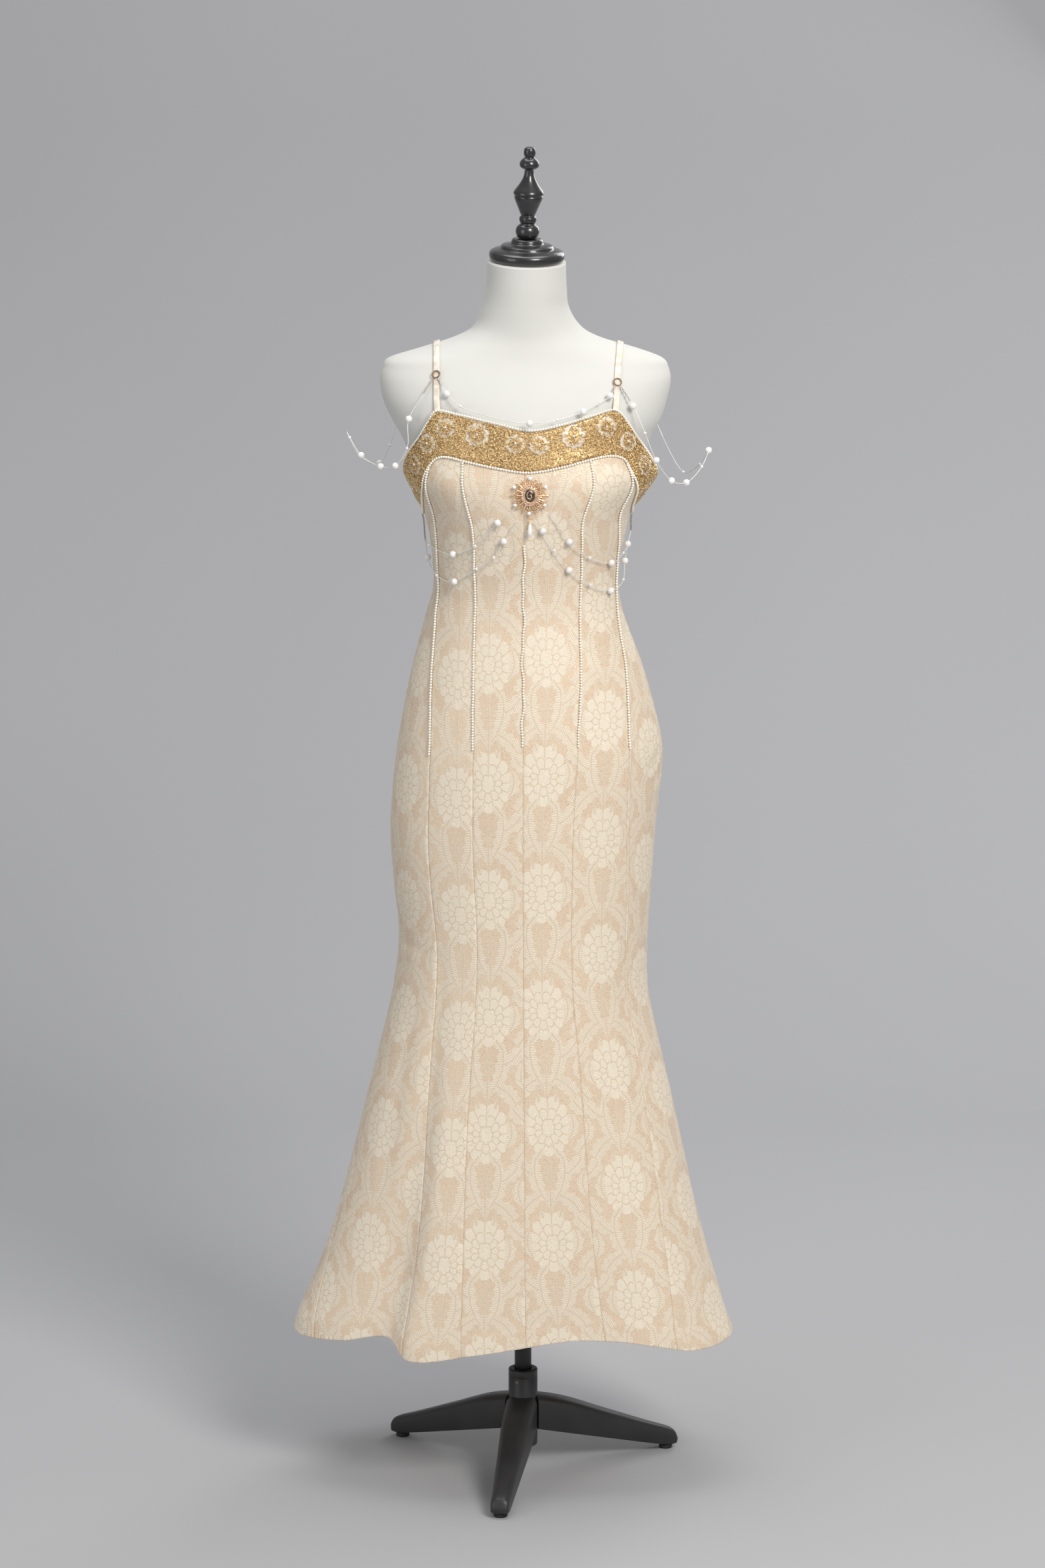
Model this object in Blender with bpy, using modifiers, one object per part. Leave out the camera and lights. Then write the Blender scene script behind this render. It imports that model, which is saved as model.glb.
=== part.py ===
"""A mermaid midi dress with a beaded neckline band, worn on a limbless dress form with a stand.

Run with: blender --background --python part.py, or from Blender's text editor.
Metres, +Z up. The front of the dress faces -Y and its right side, as seen from the front, is +X.
The floor is Z = 0. The pole stands at POLE_X, POLE_Y, and every piece is drawn about the pole's axis.
A place on the cloth is given by its turn round the body, in degrees from centre front, and its height.
"""

import math

import bmesh
import bpy
from mathutils import Matrix, Vector

# Driving dimensions
POLE_X, POLE_Y = 0.009, 0.004  # the left of the hem swings wider, so the pole stands off the middle
CLOTH = 0.002  # thickness of the brocade wall
SEAM = 0.0003  # gap between pieces that meet
BAND_PROUD = 0.0012  # the beadwork stands this far above the brocade
FLOWER_PROUD = 0.0014
FORM_CLEAR = 0.0015  # between the form and the inside of the cloth
PEARL = 0.003  # pearls on the edges and the seams
BEAD = 0.0088  # large pearls on the swags
CORD = 0.0012
STRAP_WIDE, STRAP_THICK = 0.008, 0.0012
HEM = 0.195
KNEE = 0.66  # the skirt starts to flare here
FORM_FOOT = 0.86
NECK_TOP = 1.578
POLE_RADIUS = 0.011
HUB_RADIUS = 0.019
HUB_TOP = 0.134
BORE_GAP = 0.0004
LEG_REACH = 0.219
LEG_TURNS = {"front": -98.0, "right": 22.0, "left": 142.0}  # from +X, seen from above

# Dress sections: height, half width to the left and right, depth to the front and back
SECTIONS = (
    (1.400, 0.181, 0.187, 0.1005, 0.086),
    (1.375, 0.169, 0.180, 0.1050, 0.092),
    (1.350, 0.158, 0.172, 0.1090, 0.098),
    (1.311, 0.149, 0.169, 0.1150, 0.104),
    (1.268, 0.1275, 0.1387, 0.1130, 0.101),
    (1.234, 0.1190, 0.1300, 0.1070, 0.096),
    (1.200, 0.1150, 0.1230, 0.0990, 0.092),
    (1.166, 0.1143, 0.1214, 0.0930, 0.090),
    (1.131, 0.1237, 0.1283, 0.0940, 0.094),
    (1.063, 0.1418, 0.1532, 0.1040, 0.112),
    (0.994, 0.1558, 0.1723, 0.1120, 0.127),
    (0.960, 0.1612, 0.1784, 0.1150, 0.130),
    (0.925, 0.1655, 0.1770, 0.1165, 0.130),
    (0.855, 0.1702, 0.1698, 0.1180, 0.126),
    (0.785, 0.1660, 0.1650, 0.1180, 0.121),
    (0.715, 0.1600, 0.1606, 0.1190, 0.119),
    (0.645, 0.1680, 0.1614, 0.1220, 0.124),
    (0.574, 0.1844, 0.1760, 0.1270, 0.136),
    (0.503, 0.2025, 0.1925, 0.1330, 0.150),
    (0.432, 0.2195, 0.2080, 0.1390, 0.164),
    (0.360, 0.2385, 0.2235, 0.1450, 0.179),
    (0.288, 0.2620, 0.2430, 0.1500, 0.192),
    (0.216, 0.2925, 0.2640, 0.1540, 0.202),
    (0.190, 0.3000, 0.2730, 0.1550, 0.206),
)

# Seams of the front, in degrees from centre front: height, then the seven lines from left to right
SEAM_LINES = (
    (1.340, -90.0, -45.0, -28.5, 0.5, 29.0, 46.0, 90.0),
    (1.270, -90.0, -61.0, -30.0, 0.5, 32.0, 60.0, 90.0),
    (1.180, -90.0, -69.5, -31.7, 0.5, 36.8, 76.0, 90.0),
    (1.100, -90.0, -58.0, -27.5, 0.0, 31.0, 63.0, 90.0),
    (0.970, -90.0, -47.5, -23.3, 0.0, 23.0, 49.5, 90.0),
    (0.770, -90.0, -44.5, -21.6, 0.0, 22.2, 54.0, 90.0),
    (0.600, -90.0, -41.0, -21.0, 0.3, 24.0, 56.0, 90.0),
    (0.400, -85.0, -35.0, -18.8, 0.5, 23.5, 52.0, 92.0),
    (0.190, -64.0, -30.5, -15.0, 0.8, 24.0, 45.0, 97.0),
)
# Back seams: height, turn of the right one; the left one mirrors it and the zip is at 180
BACK_SEAM_LINE = ((1.340, 134.0), (1.166, 142.0), (0.930, 136.0), (0.600, 138.0), (0.190, 134.0))

# Neckline band: turn, height of its lower edge, height of its upper edge
BAND_EDGES = (
    (-180.0, 1.252, 1.298),
    (-130.0, 1.256, 1.300),
    (-104.0, 1.260, 1.305),
    (-88.0, 1.264, 1.312),
    (-77.5, 1.272, 1.326),
    (-59.0, 1.301, 1.352),
    (-51.5, 1.322, 1.364),
    (-44.0, 1.339, 1.380),
    (-37.5, 1.343, 1.395),
    (-28.0, 1.339, 1.392),
    (-12.0, 1.331, 1.382),
    (2.5, 1.326, 1.373),
    (16.0, 1.332, 1.380),
    (28.0, 1.340, 1.390),
    (38.5, 1.344, 1.396),
    (47.0, 1.338, 1.378),
    (52.0, 1.318, 1.366),
    (63.5, 1.294, 1.345),
    (75.0, 1.275, 1.324),
    (90.0, 1.264, 1.308),
    (106.0, 1.260, 1.303),
    (130.0, 1.256, 1.300),
    (180.0, 1.252, 1.298),
)

# Flutes of the skirt at the hem: turn, how far out, how far up
FLUTES = (
    (-180.0, -0.006, 0.003),
    (-165.0, 0.012, -0.004),
    (-148.0, -0.010, 0.005),
    (-128.0, 0.011, -0.004),
    (-108.0, -0.005, 0.002),
    (-90.0, 0.000, 0.002),
    (-74.0, 0.003, -0.002),
    (-52.0, -0.002, 0.004),
    (-38.0, -0.012, 0.014),
    (-28.0, 0.011, -0.008),
    (-13.0, 0.004, 0.001),
    (3.0, -0.006, 0.012),
    (14.0, -0.009, 0.017),
    (28.0, -0.006, 0.013),
    (40.0, 0.004, 0.003),
    (50.0, 0.011, -0.006),
    (70.0, 0.007, -0.007),
    (90.0, 0.000, -0.002),
    (110.0, -0.008, 0.004),
    (128.0, 0.011, -0.004),
    (148.0, -0.010, 0.005),
    (165.0, 0.012, -0.004),
    (180.0, -0.006, 0.003),
)

# Cups: turn, height, how far out, half spread in degrees, half spread in height
CUPS = ((-36.0, 1.296, 0.008, 22.0, 0.038), (38.0, 1.296, 0.008, 22.0, 0.038))

# Form above the bust: height, half width left and right, depth front and back, middle in Y
FORM_SECTIONS = (
    (1.578, 0.0448, 0.0538, 0.050, 0.052, 0.002),
    (1.545, 0.0468, 0.0550, 0.051, 0.053, 0.004),
    (1.519, 0.0530, 0.0585, 0.052, 0.055, 0.007),
    (1.494, 0.0652, 0.0753, 0.054, 0.058, 0.010),
    (1.481, 0.0904, 0.0998, 0.057, 0.062, 0.012),
    (1.468, 0.1320, 0.1443, 0.062, 0.067, 0.012),
    (1.456, 0.1700, 0.1760, 0.068, 0.072, 0.012),
    (1.444, 0.1780, 0.1840, 0.074, 0.076, 0.010),
    (1.428, 0.1805, 0.1865, 0.081, 0.080, 0.006),
    (1.404, 0.1765, 0.1815, 0.091, 0.082, 0.002),
    (1.380, 0.1655, 0.1735, 0.099, 0.086, 0.000),
    (1.358, 0.1530, 0.1615, 0.103, 0.091, 0.000),
    (1.330, 0.1420, 0.1530, 0.1065, 0.096, 0.000),
    (1.300, 0.1340, 0.1450, 0.1090, 0.098, 0.000),
    (1.275, 0.1255, 0.1370, 0.1085, 0.097, 0.000),
)

# Heights of the rings of the cloth between the band and the hem
CLOTH_LEVELS = (
    1.245, 1.200, 1.166, 1.131, 1.090, 1.040, 0.990, 0.940, 0.870, 0.790, 0.710,
    0.630, 0.550, 0.470, 0.390, 0.320, 0.250,
)
ROWS_UNDER_BAND = 5

# Swags over the bodice: turn, height, distance off the cloth, pearl (0 none, 1 large)
WAIST_SWAGS = {
    "swag_waist_left_upper": (
        (-89.35, 1.2285, 0.0062, 0), (-76.0, 1.224, 0.0056, 0), (-65.0, 1.221, 0.0054, 0),
        (-47.0, 1.218, 0.0054, 1), (-28.6, 1.232, 0.0054, 0), (-14.4, 1.262, 0.0056, 1),
        (-7.0, 1.2765, 0.0056, 0),
    ),
    "swag_waist_left_lower": (
        (-90.0, 1.226, 0.0062, 0), (-88.0, 1.203, 0.0056, 1), (-66.0, 1.186, 0.0054, 0),
        (-47.0, 1.182, 0.0054, 1), (-29.7, 1.201, 0.0054, 0), (-18.0, 1.217, 0.0054, 0),
        (-11.5, 1.238, 0.0054, 1), (-2.6, 1.2655, 0.0056, 0),
    ),
    "swag_waist_right_upper": (
        (13.0, 1.2765, 0.0056, 0), (25.5, 1.237, 0.0054, 1), (40.0, 1.215, 0.0054, 0),
        (60.0, 1.204, 0.0054, 1), (75.5, 1.213, 0.0054, 0), (87.0, 1.222, 0.0058, 1),
        (92.15, 1.2385, 0.0062, 0),
    ),
    "swag_waist_right_lower": (
        (5.8, 1.2655, 0.0056, 0), (10.5, 1.252, 0.0056, 1), (17.5, 1.226, 0.0054, 0),
        (27.7, 1.199, 0.0054, 1), (41.8, 1.179, 0.0054, 0), (61.8, 1.167, 0.0054, 1),
        (84.0, 1.175, 0.0064, 0), (97.0, 1.200, 0.0080, 1), (93.0, 1.236, 0.0062, 0),
    ),
}

# Chains from the band down to the waist swags: turn, height of the foot
CHAINS = {"left": (-90.0, 1.2263), "right": (93.0, 1.2363)}
CHAIN_RADIUS, CHAIN_STEPS = 0.0009, 4

# Free swags: X, Y, Z from the pole's axis, pearl (0 none, 1 large)
FREE_SWAGS = {
    "swag_arm_left": (
        (-0.1240, -0.0640, 1.4180, 0), (-0.1430, -0.0720, 1.3860, 1),
        (-0.1440, -0.0780, 1.3540, 0), (-0.1580, -0.0700, 1.3290, 1), (-0.1770, -0.0480, 1.3240, 1),
        (-0.2030, -0.0230, 1.3345, 1), (-0.2200, -0.0050, 1.3580, 0), (-0.2225, 0.0050, 1.3625, 0),
        (-0.2090, 0.0250, 1.3310, 0), (-0.1850, 0.0500, 1.3170, 1), (-0.1700, 0.0680, 1.3400, 0),
        (-0.1550, 0.0830, 1.3850, 0), (-0.1320, 0.0900, 1.4120, 0),
    ),
    "swag_arm_right": (
        (0.1390, -0.0700, 1.4000, 1), (0.1520, -0.0760, 1.3700, 0),
        (0.1660, -0.0760, 1.3360, 1), (0.1850, -0.0620, 1.3090, 1), (0.2050, -0.0400, 1.3030, 1),
        (0.2240, -0.0160, 1.3180, 0), (0.2350, 0.0000, 1.3400, 1), (0.2260, 0.0210, 1.3210, 0),
        (0.2060, 0.0480, 1.3060, 0), (0.1880, 0.0680, 1.3300, 0), (0.1640, 0.0860, 1.3800, 0),
        (0.1420, 0.0910, 1.4100, 0),
    ),
    "swag_chest": (
        (-0.0960, -0.0740, 1.4190, 1), (-0.0770, -0.0920, 1.4040, 0),
        (-0.0520, -0.1030, 1.3960, 0), (-0.0200, -0.1130, 1.3885, 0), (0.0100, -0.1160, 1.3855, 1),
        (0.0420, -0.1100, 1.3895, 0), (0.0740, -0.0980, 1.3980, 1), (0.0950, -0.0850, 1.4080, 0),
        (0.1080, -0.0760, 1.4150, 1),
    ),
}

# Straps: X at the front of the band, over the shoulder and at the back of the band
STRAPS = {"left": (-0.1075, -0.1085, -0.0860), "right": (0.1160, 0.1225, 0.0900)}
RING_HEIGHTS = {"left": 1.440, "right": 1.431}
RING_RADIUS, RING_WIRE = 0.0048, 0.0009
RING_SIDES, WIRE_SIDES = 12, 6

# Brooch, measured from its middle on the cloth
BROOCH_TURN, BROOCH_HEIGHT = 3.0, 1.2965
BROOCH_WIDE, BROOCH_UP, BROOCH_DOWN = 0.025, 0.0240, 0.0265
BROOCH_LEAVES = 16
LINK_RADIUS, LINK_WIRE, LINK_OUT = 0.0021, 0.0005, 0.0022
DROP_LONG, DROP_RADIUS = 0.0195, 0.0029

# Zip at centre back
ZIP_SLIDER_HEIGHT = 1.283
TAB_LONG, TAB_WIDE, TAB_THICK = 0.024, 0.0050, 0.0012

CREAM = (0.87, 0.79, 0.65)
GOLD = (0.72, 0.52, 0.22)
PEARL_WHITE = (0.90, 0.87, 0.82)


def clear_scene():
    for thing in list(bpy.data.objects):
        bpy.data.objects.remove(thing)


def collection(name):
    made = bpy.data.collections.new(name)
    bpy.context.scene.collection.children.link(made)
    return made


def material(name, colour, roughness, metallic=0.0):
    made = bpy.data.materials.new(name)
    made.use_nodes = True
    shader = made.node_tree.nodes["Principled BSDF"]
    shader.inputs["Base Color"].default_value = (*colour, 1.0)
    shader.inputs["Roughness"].default_value = roughness
    shader.inputs["Metallic"].default_value = metallic
    return made


clear_scene()
PARTS = collection("mermaid_dress_on_form")
CUTTERS = collection("cutters")
FINISH = {
    "brocade": material("brocade", CREAM, 0.6),
    "beadwork": material("gold_beadwork", GOLD, 0.35, 0.6),
    "pearl": material("pearl", PEARL_WHITE, 0.25),
    "satin": material("satin", (0.86, 0.78, 0.66), 0.4),
    "gold": material("gold_metal", GOLD, 0.25, 1.0),
    "antique": material("antique_metal", (0.36, 0.28, 0.18), 0.35, 1.0),
    "cord": material("clear_cord", (0.85, 0.85, 0.83), 0.15),
    "form": material("form_cloth", (0.80, 0.80, 0.78), 0.75),
    "black": material("black_lacquer", (0.012, 0.012, 0.014), 0.25),
    "stand": material("black_stand_paint", (0.015, 0.015, 0.017), 0.45),
    "rubber": material("rubber", (0.02, 0.02, 0.02), 0.8),
}


def empty(name, place, parent=None):
    """A pivot that its pieces are parented to, on the axis that they move about."""
    made = bpy.data.objects.new(name, None)
    made.location = place
    made.parent = parent
    PARTS.objects.link(made)
    return made


POLE_AXIS = empty("pole_axis", (POLE_X, POLE_Y, 0.0))


def add(name, data, finish, parent=POLE_AXIS, origin=Vector()):
    """An object of the part, with its own material and its origin at the given place."""
    data.materials.clear()
    data.materials.append(FINISH[finish])
    data.transform(Matrix.Translation(-Vector(origin)))
    made = bpy.data.objects.new(name, data)
    made.parent = parent
    PARTS.objects.link(made)
    return made


SHARP_OVER = 40.0  # degrees


def finished_mesh(name, bm):
    bmesh.ops.recalc_face_normals(bm, faces=bm.faces)
    if bm.calc_volume(signed=True) < 0:
        bmesh.ops.reverse_faces(bm, faces=bm.faces)
    mesh = bpy.data.meshes.new(name)
    bm.to_mesh(mesh)
    bm.free()
    mesh.shade_smooth()
    mesh.set_sharp_from_angle(angle=math.radians(SHARP_OVER))
    return mesh


def between(table, at):
    """A row of the table at any place, on a smooth curve through its rows."""
    rows = sorted(table)
    at = min(max(at, rows[0][0]), rows[-1][0])
    last = len(rows) - 2
    low = max(i for i in range(last + 1) if rows[i][0] <= at)
    a, b = rows[low], rows[low + 1]
    before, after = rows[max(low - 1, 0)], rows[min(low + 2, last + 1)]
    span = b[0] - a[0]
    share = (at - a[0]) / span
    found = []
    for column in range(1, len(a)):
        slope_a = (b[column] - before[column]) / (b[0] - before[0])
        slope_b = (after[column] - a[column]) / (after[0] - a[0])
        s2, s3 = share * share, share**3
        found.append(
            (2 * s3 - 3 * s2 + 1) * a[column]
            + (s3 - 2 * s2 + share) * span * slope_a
            + (3 * s2 - 2 * s3) * b[column]
            + (s3 - s2) * span * slope_b
        )
    return found


def wrapped(turn):
    return (turn + 180.0) % 360.0 - 180.0


def ease(value):
    value = min(max(value, 0.0), 1.0)
    return value * value * (3.0 - 2.0 * value)


def cup_rise(turn, height):
    """How far the cups push the bodice out."""
    rise = 0.0
    for cup_turn, cup_height, out, spread, tall in CUPS:
        across = (wrapped(turn) - cup_turn) / spread
        up = (height - cup_height) / tall
        rise += out * math.exp(-across * across - up * up)
    return rise


def flute(turn, height):
    """How far a flute stands out of the skirt here, and how far it lifts the hem."""
    out, lift = between(FLUTES, wrapped(turn))
    down = min(max((KNEE - height) / (KNEE - HEM), 0.0), 1.0)
    return out * down**1.4, lift * down**4


def section_point(left, right, front, back, turn):
    angle = math.radians(turn)
    across, ahead = math.sin(angle), math.cos(angle)
    x = across * (right if across > 0 else left)
    y = -ahead * (front if ahead > 0 else back)
    return x, y


def bare_cloth_point(turn, height):
    left, right, front, back = between(SECTIONS, height)
    x, y = section_point(left, right, front, back, turn)
    angle = math.radians(turn)
    out = cup_rise(turn, height) + flute(turn, height)[0]
    return Vector((x + out * math.sin(angle), y - out * math.cos(angle), height))


def outward(surface, turn, height):
    """The surface's normal, from two short steps along it."""
    step_turn, step_up = 0.5, 0.002
    along = surface(turn + step_turn, height) - surface(turn - step_turn, height)
    up = surface(turn, height + step_up) - surface(turn, height - step_up)
    return along.cross(up).normalized()


def cloth_point(turn, height, out=0.0):
    """A point this far out of the brocade's face."""
    return bare_cloth_point(turn, height) + out * outward(bare_cloth_point, turn, height)


def band_low(turn):
    return between(BAND_EDGES, wrapped(turn))[0]


def band_top(turn):
    return between(BAND_EDGES, wrapped(turn))[1]


def hem_height(turn):
    return HEM + flute(turn, HEM)[1]


def seam_turns(height):
    """The ten seams at this height, from the left side seam round the front and back again."""
    front = between(SEAM_LINES, height)
    back = between(BACK_SEAM_LINE, height)[0]
    return [*front, back, 180.0, 360.0 - back, 360.0 + front[0]]


def gap_in_turn(turn, height, gap):
    """The turn that moves a point this far along the cloth."""
    step = (bare_cloth_point(turn + 0.5, height) - bare_cloth_point(turn - 0.5, height)).length
    return gap / step


# Columns of each gore, and how strongly they crowd to its right seam (over 1) or its left one (under -1)
GORES = (
    ("gore_side_left", 6, 1.8),
    ("gore_front_left_outer", 3, 1.0),
    ("gore_front_left", 4, 1.0),
    ("gore_front_right", 4, 1.0),
    ("gore_front_right_outer", 4, 1.4),
    ("gore_side_right", 6, -2.1),
    ("gore_back_right_outer", 4, 1.0),
    ("gore_back_right", 4, 1.0),
    ("gore_back_left", 4, 1.0),
    ("gore_back_left_outer", 4, 1.0),
)


def gore_turn(number, share, height):
    """The turn of a gore's column, this share of the way across it."""
    seams = seam_turns(height)
    left, right = seams[number], seams[number + 1]
    left += gap_in_turn(left, height, SEAM / 2)
    right -= gap_in_turn(right, height, SEAM / 2)
    return left + (right - left) * share


def gore_shares(number):
    """Where the gore's columns are across it."""
    _, columns, crowd = GORES[number]
    even = [c / columns for c in range(columns + 1)]
    if crowd < 0:
        return [share**-crowd for share in even]
    return [1.0 - (1.0 - share) ** crowd for share in even]


def edge_place(number, share, edge, start):
    """Turn and height where a gore's column meets the band or the hem."""
    height = start
    for _ in range(40):
        height = (height + edge(gore_turn(number, share, height))) / 2
    return gore_turn(number, share, height), height


def gore_column(number, share):
    """Turns and heights down one column of a gore, from the band to the hem."""
    _, top = edge_place(number, share, lambda turn: band_low(turn) - SEAM, 1.30)
    _, foot = edge_place(number, share, hem_height, HEM)
    first = CLOTH_LEVELS[0]
    steps = [top + (first - top) * i / ROWS_UNDER_BAND for i in range(ROWS_UNDER_BAND)]
    heights = [*steps, *CLOTH_LEVELS, foot]
    return [(gore_turn(number, share, height), height) for height in heights]


def wall(name, outer, inner, finish, parent=POLE_AXIS):
    """A closed wall between two grids of points, whose rows run along it."""
    bm = bmesh.new()
    rows, columns = len(outer), len(outer[0])
    faces = [[[bm.verts.new(p) for p in row] for row in grid] for grid in (outer, inner)]
    front, back = faces
    for r in range(rows - 1):
        for c in range(columns - 1):
            bm.faces.new((front[r][c], front[r + 1][c], front[r + 1][c + 1], front[r][c + 1]))
            bm.faces.new((back[r][c], back[r][c + 1], back[r + 1][c + 1], back[r + 1][c]))
    for r in range(rows - 1):
        for c in (0, columns - 1):
            bm.faces.new((front[r][c], back[r][c], back[r + 1][c], front[r + 1][c]))
    for c in range(columns - 1):
        for r in (0, rows - 1):
            bm.faces.new((front[r][c], front[r][c + 1], back[r][c + 1], back[r][c]))
    return add(name, finished_mesh(name, bm), finish, parent)


def loft(name, rings):
    """A closed mesh through rings of the same number of points."""
    bm = bmesh.new()
    made = [[bm.verts.new(p) for p in ring] for ring in rings]
    count = len(rings[0])
    for low, high in zip(made, made[1:]):
        for i in range(count):
            following = (i + 1) % count
            bm.faces.new((low[i], low[following], high[following], high[i]))
    bm.faces.new(list(reversed(made[0])))
    bm.faces.new(made[-1])
    return finished_mesh(name, bm)


def tube(name, points, radius, finish, swell=None, resolution=2, parent=POLE_AXIS):
    """A round cord or string of pearls through the points; swell widens it where a pearl sits."""
    curve = bpy.data.curves.new(name, "CURVE")
    curve.dimensions = "3D"
    curve.bevel_depth = radius
    curve.bevel_resolution = resolution
    curve.use_fill_caps = True
    line = curve.splines.new("POLY")
    line.points.add(len(points) - 1)
    for i, point in enumerate(points):
        line.points[i].co = (*point, 1.0)
        line.points[i].radius = swell[i] if swell else 1.0
    return add(name, curve, finish, parent)


def turned(name, profile, finish, steps=24, parent=POLE_AXIS, tilt=None, place=(0, 0, 0)):
    """A turned piece: radius and height down its profile."""
    bm = bmesh.new()
    corners = [bm.verts.new((radius, 0.0, height)) for radius, height in profile]
    for above, below in zip(corners, corners[1:]):
        bm.edges.new((above, below))
    mesh = bpy.data.meshes.new(name)
    bm.to_mesh(mesh)
    bm.free()
    made = add(name, mesh, finish, parent)
    made.location = place
    if tilt:
        made.rotation_euler = tilt
    spin = made.modifiers.new("Turn", "SCREW")
    spin.steps = steps
    spin.render_steps = steps
    spin.use_merge_vertices = True
    spin.merge_threshold = 0.00005
    spin.use_smooth_shade = True
    return made


def cylinder_cutter(name, radius, start, end, sides=48):
    """A cutter between two points."""
    bm = bmesh.new()
    span = Vector(end) - Vector(start)
    bmesh.ops.create_cone(
        bm, cap_ends=True, segments=sides, radius1=radius, radius2=radius, depth=span.length
    )
    turn = span.to_track_quat("Z", "Y").to_matrix().to_4x4()
    bm.transform(Matrix.Translation((Vector(start) + Vector(end)) / 2) @ turn)
    mesh = bpy.data.meshes.new(name)
    bm.to_mesh(mesh)
    bm.free()
    made = bpy.data.objects.new(name, mesh)
    made.parent = POLE_AXIS
    made.hide_render = True
    made.display_type = "WIRE"
    CUTTERS.objects.link(made)
    return made


def cut(target, cutter):
    bore = target.modifiers.new("Cut", "BOOLEAN")
    bore.operation = "DIFFERENCE"
    bore.object = cutter
    bore.solver = "EXACT"


def smooth_line(points, count):
    """Points at even steps along a smooth curve through the route's own points."""
    table = [(i, *p) for i, p in enumerate(points)]
    fine = [Vector(between(table, (len(points) - 1) * k / 400)) for k in range(401)]
    lengths = [0.0]
    for a, b in zip(fine, fine[1:]):
        lengths.append(lengths[-1] + (b - a).length)
    found = []
    for k in range(count):
        goal = lengths[-1] * k / (count - 1)
        i = max(j for j in range(400) if lengths[j] <= goal + 1e-12)
        share = (goal - lengths[i]) / (lengths[i + 1] - lengths[i])
        found.append(fine[i].lerp(fine[i + 1], share))
    return found


def make_gores():
    for number, (name, _, _) in enumerate(GORES):
        grid = [gore_column(number, share) for share in gore_shares(number)]
        rows = list(zip(*grid))
        outer = [[cloth_point(*place) for place in row] for row in rows]
        inner = [[cloth_point(*place, -CLOTH) for place in row] for row in rows]
        wall(name, outer, inner, "brocade")


def edge_columns():
    """Where each column of the gores meets the band, from centre back round the front to centre back."""
    found = []
    order = [8, 9, *range(8)]
    for number in order:
        for share in gore_shares(number):
            turn, height = edge_place(number, share, lambda turn: band_low(turn) - SEAM, 1.30)
            if number >= 8:
                turn -= 360.0
            found.append((turn, height))
    return found


# Flowers of the band: turn, share of the band's depth, half width in degrees, half depth as a share
BAND_FLOWERS = [(turn, 0.5, 5.6, 0.36) for turn in (-84, -68, -54, -39, -25, 25.5, 40, 55, 70, 86)]
BAND_FLOWERS += [(-5.0, 0.46, 5.6, 0.36), (8.0, 0.46, 5.6, 0.36)]
FLOWER_PETALS = 7


def flower_rise(turn, share):
    """How far the flower motifs stand out of the beadwork."""
    rise = 0.0
    for middle, level, wide, tall in BAND_FLOWERS:
        across, up = (turn - middle) / wide, (share - level) / tall
        reach = math.hypot(across, up)
        petals = 0.85 + 0.15 * math.cos(FLOWER_PETALS * math.atan2(up, across))
        rise = max(rise, FLOWER_PROUD * ease(1.8 * (1.15 - reach / petals)))
    return rise


BAND_ROWS = 4


def band_columns():
    """Columns of the band: those of the gores, with finer ones between them on the front."""
    gores = edge_columns()
    found = []
    for (turn, height), (after, height_after) in zip(gores, gores[1:]):
        parts = 1
        if after - turn > 4.0 and -100.0 < turn < 100.0:
            parts = 2
        for i in range(parts):
            share = i / parts
            found.append((turn + (after - turn) * share, height + (height_after - height) * share))
    found.append(gores[-1])
    return found


def make_band():
    columns = band_columns()
    outer, inner = [], []
    for r in range(BAND_ROWS + 1):
        share = 1.0 - r / BAND_ROWS
        outer_row, inner_row = [], []
        for turn, low in columns:
            low += SEAM
            height = low + (band_top(turn) - low) * share
            rise = BAND_PROUD + flower_rise(turn, share)
            outer_row.append(cloth_point(turn, height, rise))
            inner_row.append(cloth_point(turn, height, -CLOTH))
        outer.append(outer_row)
        inner.append(inner_row)
    wall("neckline_band", outer, inner, "beadwork")


LOW_PEARL_LIFT = 0.0016  # the string stands on the brocade where the bodice turns in under it


def make_edge_pearls():
    """Strings of pearls sewn along the two edges of the band."""
    columns = band_columns()
    radius = PEARL / 2
    top = []
    for turn, _ in columns:
        edge = cloth_point(turn, band_top(turn), 0.0) + Vector((0.0, 0.0, radius + 4 * SEAM))
        if not top or (edge - top[-1]).length > 2 * PEARL:
            top.append(edge)
    tube("neckline_pearls", top, radius, "pearl", resolution=1)
    low = []
    for turn, height in edge_columns():
        along = cloth_point(turn + 1.0, band_low(turn + 1.0)) - cloth_point(turn - 1.0, band_low(turn - 1.0))
        face = outward(bare_cloth_point, turn, height)
        down = face.cross(along).normalized()
        if down.z > 0:
            down.negate()
        place = cloth_point(turn, height) + down * (radius + SEAM) + face * (radius + LOW_PEARL_LIFT)
        if not low or (place - low[-1]).length > PEARL / 2:
            low.append(place)
    tube("band_pearls", low, radius, "pearl", resolution=1)


STRING_FEET = {1: 0.963, 2: 0.974, 3: 0.980, 4: 0.978, 5: 0.970}
STRING_NAMES = {1: "left_outer", 2: "left_inner", 3: "centre", 4: "right_inner", 5: "right_outer"}
STRING_GAP_UNDER_BAND = 0.0085
CENTRE_STRING_TOP = 1.2315  # it starts under the drop of the brooch


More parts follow.
